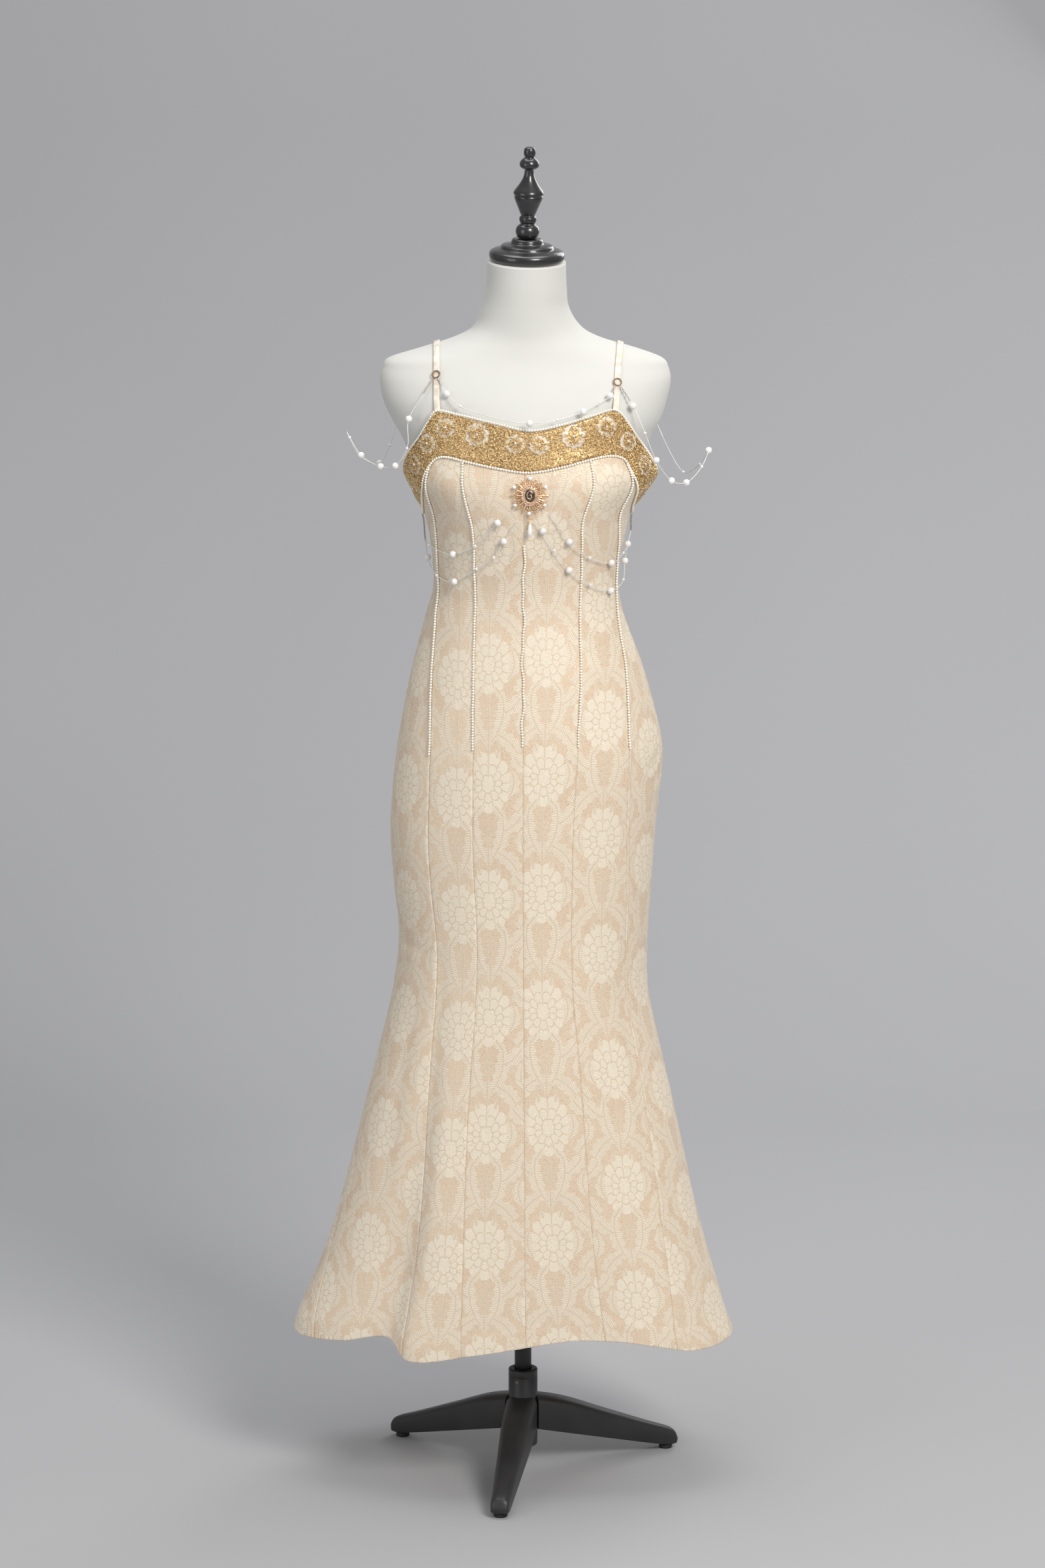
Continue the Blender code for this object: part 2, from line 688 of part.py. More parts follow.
def make_seam_pearls():
    """Strings of pearls sewn down five seams of the bodice, from the band to the hip."""
    radius = PEARL / 2
    for number, label in STRING_NAMES.items():
        top = edge_place(number, 0.0, lambda turn: band_low(turn) - STRING_GAP_UNDER_BAND, 1.30)[1]
        if number == 3:
            top = CENTRE_STRING_TOP
        column = [height for _, height in gore_column(number, 0.0)]
        foot = STRING_FEET[number]
        heights = [top] + [h for h in column if foot + 0.006 < h < top - 0.006] + [foot]
        points = [
            cloth_point(seam_turns(h)[number], h, radius + 1.6 * SEAM) for h in heights
        ]
        tube(f"seam_pearls_{label}", points, radius, "pearl", resolution=1)


def form_row(height):
    """Half widths, depths and middle of the form at this height."""
    inset = CLOTH + FORM_CLEAR
    if height >= FORM_SECTIONS[-1][0]:
        return between(FORM_SECTIONS, height)
    left, right, front, back = between(SECTIONS, height)
    return [left - inset, right - inset, front - inset, back - inset, 0.0]


def form_point(turn, height):
    left, right, front, back, middle = form_row(height)
    x, y = section_point(left, right, front, back, turn)
    angle = math.radians(turn)
    rise = cup_rise(turn, height)
    return Vector((x + rise * math.sin(angle), middle + y - rise * math.cos(angle), height))


FORM_COLUMNS = 32
CAP_TILT = (0.115, 0.028, 0.0)  # the cap and finial lean to the front and a little to the right
NECK_MIDDLE = (0.0045, 0.002)
NECK_FOOT = 1.494


def make_form():
    levels = [FORM_FOOT, *[h for h in CLOTH_LEVELS if 0.87 < h < 1.25][::-1]]
    levels += [row[0] for row in reversed(FORM_SECTIONS)]
    rings = []
    for height in levels:
        ring = []
        lean = ease((height - NECK_FOOT) / (NECK_TOP - NECK_FOOT))
        for i in range(FORM_COLUMNS):
            point = form_point(360.0 * i / FORM_COLUMNS, height)
            ahead, across = point.y - NECK_MIDDLE[1], point.x - NECK_MIDDLE[0]
            point.z += lean * (math.tan(CAP_TILT[0]) * ahead - math.tan(CAP_TILT[1]) * across)
            ring.append(point)
        rings.append(ring)
    body = add("dress_form", loft("dress_form", rings), "form")
    cut(body, cylinder_cutter("pole_bore", POLE_RADIUS + BORE_GAP, (0, 0, 0.84), (0, 0, 0.92), 24))


def form_value(point):
    """Under 1 inside the form, 1 on its face."""
    left, right, front, back, middle = form_row(point.z)
    across = point.x / (right if point.x > 0 else left)
    ahead = (point.y - middle) / (back if point.y > middle else front)
    return across * across + ahead * ahead


def form_face(point):
    """The form's normal at a point on it."""
    step = 0.0005
    slope = [
        form_value(point + axis * step) - form_value(point - axis * step)
        for axis in (Vector((1, 0, 0)), Vector((0, 1, 0)), Vector((0, 0, 1)))
    ]
    return Vector(slope).normalized()


SHOULDER_MIDDLE = (0.010, 1.400)  # Y and Z that the strap bends round
STRAP_LIFT = 0.0020
FRONT_HALF = {"left": 0.178, "right": 0.1855}  # half width of the form where a strap leaves the band


def strap_path(side):
    """Points and normals of a strap's middle, from the front of the band over the shoulder."""
    front_x, top_x, back_x = STRAPS[side]
    middle_y, middle_z = SHOULDER_MIDDLE
    path = []
    arc = range(0, 193, 8)
    for degrees in arc:
        angle = math.radians(degrees)
        share = degrees / 95.0
        x = front_x + (top_x - front_x) * ease(share) if share < 1 else top_x
        direction = Vector((0.0, -math.cos(angle), math.sin(angle)))
        low, high = 0.0, 0.2
        for _ in range(40):
            reach = (low + high) / 2
            point = Vector((x, middle_y, middle_z)) + direction * reach
            if form_value(point) < 1.0:
                low = reach
            else:
                high = reach
        face = form_face(point)
        path.append((point + face * STRAP_LIFT, face))
    start_turn = math.degrees(math.asin(front_x / FRONT_HALF[side]))
    base_height = band_top(start_turn) + SEAM
    base_face = outward(bare_cloth_point, start_turn, base_height)
    base = cloth_point(start_turn, base_height, -CLOTH - STRAP_THICK / 2)
    path = [(base, base_face)] + [p for p in path if p[0].z > base_height + 0.008 or p[0].y > 0.0]
    last = path[-1][0]
    for share in (0.3, 0.6, 1.0):
        height = last.z + (band_top(180.0) + 0.0045 - last.z) * share
        x = last.x + (back_x - last.x) * share
        _, _, _, back, middle = form_row(height)
        half = form_row(height)[1 if x > 0 else 0]
        y = middle + back * math.sqrt(max(1.0 - (x / half) ** 2, 0.0))
        point = Vector((x, y, height))
        face = form_face(point)
        path.append((point + face * STRAP_LIFT, face))
    return path


def at_height(path, height):
    """Point and normal where a path first passes this height."""
    for (a, face_a), (b, face_b) in zip(path, path[1:]):
        if (a.z - height) * (b.z - height) <= 0:
            share = (height - a.z) / (b.z - a.z)
            return a.lerp(b, share), face_a.lerp(face_b, share).normalized()
    raise ValueError(height)


SWAG_BACK_HEIGHT = 1.425
STRAP_MARKS = {}


def make_straps():
    for side in STRAPS:
        path = strap_path(side)
        rings = []
        for i, (point, face) in enumerate(path):
            ahead = path[min(i + 1, len(path) - 1)][0] - path[max(i - 1, 0)][0]
            wide = ahead.cross(face).normalized() * STRAP_WIDE / 2
            thick = wide.cross(ahead).normalized() * STRAP_THICK / 2
            rings.append([point - wide - thick, point + wide - thick, point + wide + thick, point - wide + thick])
        add(f"strap_{side}", loft(f"strap_{side}", rings), "satin")
        point, face = at_height(path, RING_HEIGHTS[side])
        back, back_face = at_height(path[::-1], SWAG_BACK_HEIGHT)
        back += back_face * ((STRAP_THICK + CORD) / 2 + SEAM)
        bpy.ops.mesh.primitive_torus_add(
            major_radius=RING_RADIUS, minor_radius=RING_WIRE, major_segments=RING_SIDES, minor_segments=WIRE_SIDES
        )
        torus = bpy.context.object
        mesh = torus.data
        bpy.data.objects.remove(torus)
        seat = point + face * (STRAP_THICK / 2 + RING_WIRE + 2 * SEAM)
        mesh.transform(Matrix.Translation(seat) @ face.to_track_quat("Z", "Y").to_matrix().to_4x4())
        add(f"strap_ring_{side}", mesh, "antique")
        STRAP_MARKS[side] = (seat, back)


def strand(name, route):
    """A clear cord with its large pearls, as a tube that swells where each one sits."""
    points = [Vector(row[:3]) for row in route]
    count = 6 + len(points)
    line = smooth_line(points, 200)
    pearls = [points[i] for i, row in enumerate(route) if row[3]]
    steps = [0.0]
    for a, b in zip(line, line[1:]):
        steps.append(steps[-1] + (b - a).length)
    total = steps[-1]
    middles = [steps[min(range(200), key=lambda k: (line[k] - pearl).length)] for pearl in pearls]
    bead, thin = BEAD / 2, CORD / 2
    stations = [(total * k / count, 1.0) for k in range(count + 1)]
    stations = [s for s in stations if all(abs(s[0] - m) > 1.5 * bead for m in middles)]
    for middle in middles:
        for shift, size in ((-1.0, 1.0), (-0.5, 0.93 * bead / thin), (0.5, 0.93 * bead / thin), (1.0, 1.0)):
            stations.append((middle + shift * bead, size))
    stations.sort()
    places, swell = [], []
    for along, size in stations:
        i = max(j for j in range(199) if steps[j] <= max(along, 0.0))
        share = (along - steps[i]) / (steps[i + 1] - steps[i])
        places.append(line[i].lerp(line[i + 1], share))
        swell.append(size)
    tube(name, places, thin, "cord", swell)


def make_swags():
    for name, rows in WAIST_SWAGS.items():
        strand(name, [(*cloth_point(turn, height, out), pearl) for turn, height, out, pearl in rows])
    reach = RING_RADIUS + RING_WIRE + CORD / 2 + SEAM
    for name, rows in FREE_SWAGS.items():
        side = "right" if name.endswith("right") else "left"
        start, back = STRAP_MARKS[side]
        start = start + (Vector(rows[0][:3]) - start).normalized() * reach
        end = back
        if name == "swag_chest":
            end = STRAP_MARKS["right"][0]
            end = end + (Vector(rows[-1][:3]) - end).normalized() * reach
        strand(name, [(*start, 0), *rows, (*end, 0)])
    for side, (turn, foot) in CHAINS.items():
        top = band_low(turn) - PEARL - 3 * SEAM
        points = []
        for i in range(CHAIN_STEPS + 1):
            share = i / CHAIN_STEPS
            points.append(cloth_point(turn, top + (foot - top) * share, 0.0031 + 0.0031 * ease(share)))
        tube(f"swag_chain_{side}", points, CHAIN_RADIUS, "antique")


def brooch_frame():
    """Axes of the brooch: right, up and out of the cloth, at its middle."""
    out = outward(bare_cloth_point, BROOCH_TURN, BROOCH_HEIGHT)
    right = Vector((0, 0, 1)).cross(out).normalized()
    right.negate()
    up = right.cross(out)
    if up.z < 0:
        up.negate()
    return right, up, out


# share of the brooch's radius, rise at a leaf, rise between two leaves
BROOCH_RELIEF = (
    (0.30, 0.0040, 0.0040),
    (0.42, 0.0052, 0.0044),
    (0.58, 0.0052, 0.0034),
    (0.78, 0.0032, 0.0022),
)
BROOCH_RIM = (1.0, 0.0013, 0.0010)
STONE_SIZE, STONE_SEAT = (0.0060, 0.0080, 0.0028), 0.0040


def make_brooch():
    right, up, out = brooch_frame()
    middle = cloth_point(BROOCH_TURN, BROOCH_HEIGHT, 2 * SEAM)
    around = 3 * BROOCH_LEAVES
    bm = bmesh.new()

    def ring(share, leaf_rise, gap_rise):
        made = []
        for i in range(around):
            angle = 2 * math.pi * i / around
            leaf = 0.5 + 0.5 * math.cos(BROOCH_LEAVES * angle)
            reach = share * (1.0 - 0.16 * (1.0 - leaf) * share)
            tall = BROOCH_UP if math.sin(angle) > 0 else BROOCH_DOWN
            flat = right * (BROOCH_WIDE * math.cos(angle) * reach) + up * (tall * math.sin(angle) * reach)
            made.append(bm.verts.new(middle + flat + out * (gap_rise + (leaf_rise - gap_rise) * leaf)))
        return made

    back = ring(1.0, 0.0, 0.0)
    rings = [ring(*BROOCH_RIM)] + [ring(*row) for row in reversed(BROOCH_RELIEF)]
    rings = [back] + rings
    for low, high in zip(rings, rings[1:]):
        for i in range(around):
            following = (i + 1) % around
            bm.faces.new((low[i], low[following], high[following], high[i]))
    bm.faces.new(back)
    bm.faces.new(rings[-1])
    add("brooch", finished_mesh("brooch", bm), "gold")

    stone = bmesh.new()
    bmesh.ops.create_uvsphere(stone, u_segments=16, v_segments=8, radius=1.0)
    half = [v for v in stone.verts if v.co.z < -0.01]
    bmesh.ops.delete(stone, geom=half, context="VERTS")
    rim = [e for e in stone.edges if e.is_boundary]
    bmesh.ops.contextual_create(stone, geom=rim)
    frame = Matrix((right, up, out)).transposed().to_4x4()
    size = Matrix.Diagonal((*STONE_SIZE, 1.0))
    seat = middle + out * (STONE_SEAT + 2 * SEAM)
    stone.transform(Matrix.Translation(seat) @ frame @ size)
    add("brooch_stone", finished_mesh("brooch_stone", stone), "antique")


def make_drop():
    """The pearl drop, which swings from a link under the brooch."""
    right, up, out = brooch_frame()
    foot = cloth_point(BROOCH_TURN, BROOCH_HEIGHT, 0.0) - up * BROOCH_DOWN
    reach = LINK_RADIUS + LINK_WIRE + SEAM
    link = foot + out * LINK_OUT - up * reach
    bpy.ops.mesh.primitive_torus_add(
        major_radius=LINK_RADIUS, minor_radius=LINK_WIRE, major_segments=RING_SIDES, minor_segments=WIRE_SIDES
    )
    torus = bpy.context.object
    mesh = torus.data
    bpy.data.objects.remove(torus)
    mesh.transform(Matrix.Translation(link) @ out.to_track_quat("Z", "Y").to_matrix().to_4x4())
    add("drop_link", mesh, "gold")
    pivot = link - up * reach
    hinge = empty("drop_pivot", pivot, POLE_AXIS)
    profile = [
        (0.0, 0.0), (0.0009, -0.0003), (0.0012, -0.0022), (0.0018, -0.0040), (0.0025, -0.0080),
        (DROP_RADIUS, -0.0130), (0.0027, -0.0165), (0.0017, -0.0188), (0.0, -DROP_LONG),
    ]
    turned("brooch_drop", profile, "pearl", steps=12, parent=hinge)
    return pivot


def box(name, low, high, finish, parent=POLE_AXIS, bevel=0.0):
    bm = bmesh.new()
    bmesh.ops.create_cube(bm, size=1.0)
    size = Vector(high) - Vector(low)
    bm.transform(Matrix.Translation((Vector(low) + Vector(high)) / 2) @ Matrix.Diagonal((*size, 1.0)))
    made = add(name, finished_mesh(name, bm), finish, parent)
    if bevel:
        edge = made.modifiers.new("Bevel", "BEVEL")
        edge.width = bevel
        edge.segments = 2
    return made


def make_zip():
    """The slider at the top of the concealed zip, and its tab, which swings up from its pin."""
    face = cloth_point(180.0, ZIP_SLIDER_HEIGHT, 0.0)
    lift = BAND_PROUD + 3 * SEAM
    depth = 0.0030
    base = face.y + lift
    half = 0.0030
    box(
        "zip_slider",
        (-half, base, ZIP_SLIDER_HEIGHT - 0.0075),
        (half, base + depth, ZIP_SLIDER_HEIGHT + 0.0015),
        "antique",
        bevel=0.0006,
    )
    pivot = Vector((0.0, base + depth + SEAM + TAB_THICK, ZIP_SLIDER_HEIGHT))
    hinge = empty("zip_pull_pivot", pivot, POLE_AXIS)
    outline = bpy.data.curves.new("zip_pull", "CURVE")
    outline.dimensions = "2D"
    outline.fill_mode = "BOTH"
    outline.extrude = TAB_THICK / 2
    line = outline.splines.new("POLY")
    half_wide = TAB_WIDE / 2
    corners = [(-0.0013, 0.0010), (0.0013, 0.0010), (0.0016, -0.0060)]
    for degrees in range(20, -201, -20):
        angle = math.radians(degrees)
        corners.append((half_wide * math.cos(angle), half_wide * math.sin(angle) - TAB_LONG + half_wide))
    corners.append((-0.0016, -0.0060))
    line.points.add(len(corners) - 1)
    for i, (x, z) in enumerate(corners):
        line.points[i].co = (x, z, 0.0, 1.0)
    line.use_cyclic_u = True
    tab = add("zip_pull", outline, "antique", parent=hinge)
    tab.rotation_euler = (math.radians(90.0), 0.0, 0.0)
    return pivot


FINIAL_PRESS = 0.82 * 0.140 / 0.130  # the profile's heights are pressed to the finial's own height


def make_neck_cap():
    place = (*NECK_MIDDLE, NECK_TOP + 2 * SEAM)
    cap = [
        (0.0, 0.0285), (0.0165, 0.0285), (0.0195, 0.0260), (0.0205, 0.0225), (0.0290, 0.0205),
        (0.0325, 0.0185), (0.0340, 0.0160), (0.0430, 0.0135), (0.0468, 0.0105), (0.0475, 0.0065),
        (0.0465, 0.0030), (0.0430, 0.0), (0.0, 0.0),
    ]
    turned("neck_cap", cap, "black", steps=24, tilt=CAP_TILT, place=place)
    foot = 0.0285 + SEAM
    finial = [
        (0.0, 0.1400), (0.0045, 0.1395), (0.0070, 0.1370), (0.0074, 0.1300), (0.0060, 0.1255),
        (0.0110, 0.1200), (0.0123, 0.1150), (0.0105, 0.1105), (0.0060, 0.1080), (0.0068, 0.0980),
        (0.0125, 0.0860), (0.0180, 0.0775), (0.0190, 0.0740), (0.0172, 0.0715), (0.0178, 0.0690),
        (0.0150, 0.0590), (0.0100, 0.0450), (0.0086, 0.0420), (0.0106, 0.0400), (0.0106, 0.0330),
        (0.0090, 0.0310), (0.0135, 0.0270), (0.0150, 0.0200), (0.0135, 0.0130), (0.0100, 0.0100),
        (0.0, 0.0100),
    ]
    lowest = finial[-1][1]
    finial = [(radius, foot + (height - lowest) * FINIAL_PRESS) for radius, height in finial]
    turned("finial", finial, "black", steps=16, tilt=CAP_TILT, place=place)


HUB_FOOT, BORE_FLOOR = 0.030, 0.036
SCREW_TURN, SCREW_HEIGHT, SCREW_RADIUS = -116.0, 0.118, 0.0022
LEG_SECTIONS = (
    # distance from the pole, half width, underside, top
    (0.0140, 0.0205, 0.0535, 0.0990),
    (0.0600, 0.0195, 0.0420, 0.0870),
    (0.1200, 0.0165, 0.0268, 0.0630),
    (0.1800, 0.0135, 0.0118, 0.0390),
    (0.2040, 0.0124, 0.0068, 0.0300),
    (0.2140, 0.0118, 0.0068, 0.0250),
    (LEG_REACH, 0.0095, 0.0080, 0.0170),
)
FOOT_AT, FOOT_RADIUS, FOOT_TALL = 0.2045, 0.0088, 0.0065


def about_pole(point, degrees):
    return Matrix.Rotation(math.radians(degrees), 3, "Z") @ Vector(point)


def make_stand():
    bore = POLE_RADIUS + BORE_GAP
    hub = turned(
        "stand_hub",
        [
            (0.0, BORE_FLOOR), (bore, BORE_FLOOR), (bore, HUB_TOP), (HUB_RADIUS - 0.001, HUB_TOP),
            (HUB_RADIUS, HUB_TOP - 0.001), (HUB_RADIUS, HUB_FOOT + 0.002),
            (HUB_RADIUS - 0.002, HUB_FOOT), (0.0, HUB_FOOT),
        ],
        "stand",
    )
    start = about_pole((0.006, 0, SCREW_HEIGHT), SCREW_TURN)
    end = about_pole((0.024, 0, SCREW_HEIGHT), SCREW_TURN)
    cut(hub, cylinder_cutter("screw_hole", SCREW_RADIUS + SEAM, start, end, 12))
    low, high = bore + 0.0002, HUB_RADIUS - 0.0012
    bm = bmesh.new()
    bmesh.ops.create_cone(
        bm, cap_ends=True, segments=12, radius1=SCREW_RADIUS, radius2=SCREW_RADIUS, depth=high - low
    )
    bm.transform(
        Matrix.Rotation(math.radians(SCREW_TURN), 4, "Z")
        @ Matrix.Translation(((low + high) / 2, 0, SCREW_HEIGHT))
        @ Matrix.Rotation(math.radians(90.0), 4, "Y")
    )
    add("clamp_screw", finished_mesh("clamp_screw", bm), "antique")
    turned(
        "pole",
        [(0.0, 0.9197), (POLE_RADIUS, 0.9197), (POLE_RADIUS, BORE_FLOOR + SEAM), (0.0, BORE_FLOOR + SEAM)],
        "stand",
    )
    hub_cutter = cylinder_cutter("hub_clearance", HUB_RADIUS + SEAM, (0, 0, 0.0), (0, 0, 0.15))
    for label, degrees in LEG_TURNS.items():
        rings = []
        for along, half, under, top in LEG_SECTIONS:
            round_top, round_foot = min(0.007, 0.4 * (top - under)), 0.002
            outline = [
                (half - round_foot, under), (half, under + round_foot), (half, top - round_top),
                (half - 0.5 * round_top, top - 0.25 * round_top), (0.3 * half, top),
            ]
            ring = outline + [(-side, level) for side, level in reversed(outline)]
            rings.append([about_pole((along, side, level), degrees) for side, level in ring])
        leg = add(f"leg_{label}", loft(f"leg_{label}", rings), "stand")
        cut(leg, hub_cutter)
        place = about_pole((FOOT_AT, 0, 0), degrees)
        profile = [(0.0, FOOT_TALL), (FOOT_RADIUS, FOOT_TALL), (FOOT_RADIUS, 0.0), (0.0, 0.0)]
        turned(f"foot_{label}", profile, "rubber", steps=16, place=place)


def main():
    make_gores()
    make_band()
    make_edge_pearls()
    make_seam_pearls()
    make_form()
    make_straps()
    make_swags()
    make_brooch()
    make_drop()
    make_zip()
    make_neck_cap()
    make_stand()


main()
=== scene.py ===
# %% [markdown]
# # A mermaid midi dress on a dress form
# This lesson dresses a imported model: ten brocade gores, a beaded neckline band, strings of pearls,
# pearl swags, a brooch, and the form and stand that wear them. The imported model is the frame.
# It says where every piece is. The folds, the camera and the lights are set here.

# %% Load the imported model
import math

import bmesh
import bpy
import numpy as np
from mathutils import Matrix, Vector


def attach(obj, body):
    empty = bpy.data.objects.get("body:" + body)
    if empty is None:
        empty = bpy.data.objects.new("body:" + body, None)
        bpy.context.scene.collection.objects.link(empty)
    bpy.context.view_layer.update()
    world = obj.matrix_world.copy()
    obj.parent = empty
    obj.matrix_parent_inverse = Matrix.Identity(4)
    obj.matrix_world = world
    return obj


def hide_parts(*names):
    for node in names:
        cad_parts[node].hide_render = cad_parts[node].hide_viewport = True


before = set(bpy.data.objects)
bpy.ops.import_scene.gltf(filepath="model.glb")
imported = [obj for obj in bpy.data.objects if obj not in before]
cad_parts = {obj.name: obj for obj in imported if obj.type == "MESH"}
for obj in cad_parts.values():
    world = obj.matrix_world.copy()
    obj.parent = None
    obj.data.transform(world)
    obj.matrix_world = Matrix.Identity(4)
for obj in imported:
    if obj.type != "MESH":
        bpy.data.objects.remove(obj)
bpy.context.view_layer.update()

# %% [markdown]
# The camera's distance of six metres is an assumption, since the photograph doesn't tell it. Tipped
# down by ten degrees, and with a long lens, it puts the outline about where the photograph has it.

# %% Camera
POLE_X, POLE_Y = 0.009, 0.004
CAMERA_AT = (POLE_X - 0.0007, POLE_Y - 6.0, 2.0)
CAMERA_DOWN = math.radians(10.29)
LENS_MM, SENSOR_MM = 109.3, 36.0

lens = bpy.data.cameras.new("camera")
lens.lens = LENS_MM
lens.sensor_width = SENSOR_MM
lens.sensor_height = SENSOR_MM
lens.sensor_fit = "AUTO"
camera = bpy.data.objects.new("camera", lens)
camera.location = CAMERA_AT
camera.rotation_euler = (math.radians(90.0) - CAMERA_DOWN, 0.0, 0.0)
bpy.context.scene.collection.objects.link(camera)
bpy.context.scene.camera = camera
print("camera", CAMERA_AT, "lens", LENS_MM, "mm")

# %% [markdown]
# The maker's sizes come next: the same tables that the solids were lofted through. A place on
# the cloth is a turn round the body, in degrees from centre front, and a height. Everything
# sewn to the dress is placed this way, so that it lies on the cloth wherever the cloth goes.

# %% Sizes of the dress
CLOTH = 0.002
SEAM = 0.0003
BAND_PROUD = 0.0012
FORM_CLEAR = 0.0015
PEARL = 0.003
PEARL_PITCH = 0.0036
BEAD = 0.0088
STRAP_WIDE, STRAP_THICK = 0.008, 0.0012
HEM = 0.195
KNEE = 0.66
FORM_FOOT, NECK_FOOT, NECK_TOP = 0.86, 1.494, 1.578

# height, half width left and right, depth front and back
SECTIONS = (
    (1.400, 0.181, 0.187, 0.1005, 0.086),
    (1.375, 0.169, 0.180, 0.1050, 0.092),
    (1.350, 0.158, 0.172, 0.1090, 0.098),
    (1.311, 0.149, 0.169, 0.1150, 0.104),
    (1.268, 0.1275, 0.1387, 0.1130, 0.101),
    (1.234, 0.1190, 0.1300, 0.1070, 0.096),
    (1.200, 0.1150, 0.1230, 0.0990, 0.092),
    (1.166, 0.1143, 0.1214, 0.0930, 0.090),
    (1.131, 0.1237, 0.1283, 0.0940, 0.094),
    (1.063, 0.1418, 0.1532, 0.1040, 0.112),
    (0.994, 0.1558, 0.1723, 0.1120, 0.127),
    (0.960, 0.1612, 0.1784, 0.1150, 0.130),
    (0.925, 0.1655, 0.1770, 0.1165, 0.130),
    (0.855, 0.1702, 0.1698, 0.1180, 0.126),
    (0.785, 0.1660, 0.1650, 0.1180, 0.121),
    (0.715, 0.1600, 0.1606, 0.1190, 0.119),
    (0.645, 0.1680, 0.1614, 0.1220, 0.124),
    (0.574, 0.1844, 0.1760, 0.1270, 0.136),
    (0.503, 0.2025, 0.1925, 0.1330, 0.150),
    (0.432, 0.2195, 0.2080, 0.1390, 0.164),
    (0.360, 0.2385, 0.2235, 0.1450, 0.179),
    (0.288, 0.2620, 0.2430, 0.1500, 0.192),
    (0.216, 0.2925, 0.2640, 0.1540, 0.202),
    (0.190, 0.3000, 0.2730, 0.1550, 0.206),
)
# height, then the turns of the seven seams of the front
SEAM_LINES = (
    (1.340, -90.0, -45.0, -28.5, 0.5, 29.0, 46.0, 90.0),
    (1.270, -90.0, -61.0, -30.0, 0.5, 32.0, 60.0, 90.0),
    (1.180, -90.0, -69.5, -31.7, 0.5, 36.8, 76.0, 90.0),
    (1.100, -90.0, -58.0, -27.5, 0.0, 31.0, 63.0, 90.0),
    (0.970, -90.0, -47.5, -23.3, 0.0, 23.0, 49.5, 90.0),
    (0.770, -90.0, -44.5, -21.6, 0.0, 22.2, 54.0, 90.0),
    (0.600, -90.0, -41.0, -21.0, 0.3, 24.0, 56.0, 90.0),
    (0.400, -85.0, -35.0, -18.8, 0.5, 23.5, 52.0, 92.0),
    (0.190, -64.0, -30.5, -15.0, 0.8, 24.0, 45.0, 97.0),
)
BACK_SEAM_LINE = ((1.340, 134.0), (1.166, 142.0), (0.930, 136.0), (0.600, 138.0), (0.190, 134.0))
# turn, lower edge and upper edge of the band
BAND_EDGES = (
    (-180.0, 1.252, 1.298),
    (-130.0, 1.256, 1.300),
    (-104.0, 1.260, 1.305),
    (-88.0, 1.264, 1.312),
    (-77.5, 1.272, 1.326),
    (-59.0, 1.301, 1.352),
    (-51.5, 1.322, 1.364),
    (-44.0, 1.339, 1.380),
    (-37.5, 1.343, 1.395),
    (-28.0, 1.339, 1.392),
    (-12.0, 1.331, 1.382),
    (2.5, 1.326, 1.373),
    (16.0, 1.332, 1.380),
    (28.0, 1.340, 1.390),
    (38.5, 1.344, 1.396),
    (47.0, 1.338, 1.378),
    (52.0, 1.318, 1.366),
    (63.5, 1.294, 1.345),
    (75.0, 1.275, 1.324),
    (90.0, 1.264, 1.308),
    (106.0, 1.260, 1.303),
    (130.0, 1.256, 1.300),
    (180.0, 1.252, 1.298),
)
# turn, how far out and how far up the flute goes at the hem
FLUTES = (
    (-180.0, -0.006, 0.003),
    (-165.0, 0.012, -0.004),
    (-148.0, -0.010, 0.005),
    (-128.0, 0.011, -0.004),
    (-108.0, -0.005, 0.002),
    (-90.0, 0.000, 0.002),
    (-74.0, 0.003, -0.002),
    (-52.0, -0.002, 0.004),
    (-38.0, -0.012, 0.014),
    (-28.0, 0.011, -0.008),
    (-13.0, 0.004, 0.001),
    (3.0, -0.006, 0.012),
    (14.0, -0.009, 0.017),
    (28.0, -0.006, 0.013),
    (40.0, 0.004, 0.003),
    (50.0, 0.011, -0.006),
    (70.0, 0.007, -0.007),
    (90.0, 0.000, -0.002),
    (110.0, -0.008, 0.004),
    (128.0, 0.011, -0.004),
    (148.0, -0.010, 0.005),
    (165.0, 0.012, -0.004),
    (180.0, -0.006, 0.003),
)
# turn, height, how far out, half spread in degrees and in height
CUPS = ((-36.0, 1.296, 0.008, 22.0, 0.038), (38.0, 1.296, 0.008, 22.0, 0.038))
# height, half width left and right, depth front and back, middle in Y
FORM_SECTIONS = (
    (1.578, 0.0448, 0.0538, 0.050, 0.052, 0.002),
    (1.545, 0.0468, 0.0550, 0.051, 0.053, 0.004),
    (1.519, 0.0530, 0.0585, 0.052, 0.055, 0.007),
    (1.494, 0.0652, 0.0753, 0.054, 0.058, 0.010),
    (1.481, 0.0904, 0.0998, 0.057, 0.062, 0.012),
    (1.468, 0.1320, 0.1443, 0.062, 0.067, 0.012),
    (1.456, 0.1700, 0.1760, 0.068, 0.072, 0.012),
    (1.444, 0.1780, 0.1840, 0.074, 0.076, 0.010),
    (1.428, 0.1805, 0.1865, 0.081, 0.080, 0.006),
    (1.404, 0.1765, 0.1815, 0.091, 0.082, 0.002),
    (1.380, 0.1655, 0.1735, 0.099, 0.086, 0.000),
    (1.358, 0.1530, 0.1615, 0.103, 0.091, 0.000),
    (1.330, 0.1420, 0.1530, 0.1065, 0.096, 0.000),
    (1.300, 0.1340, 0.1450, 0.1090, 0.098, 0.000),
    (1.275, 0.1255, 0.1370, 0.1085, 0.097, 0.000),
)
POLE = np.array((POLE_X, POLE_Y, 0.0))
print(len(SECTIONS), "sections of the dress,", len(FORM_SECTIONS), "of the form's shoulders and neck")

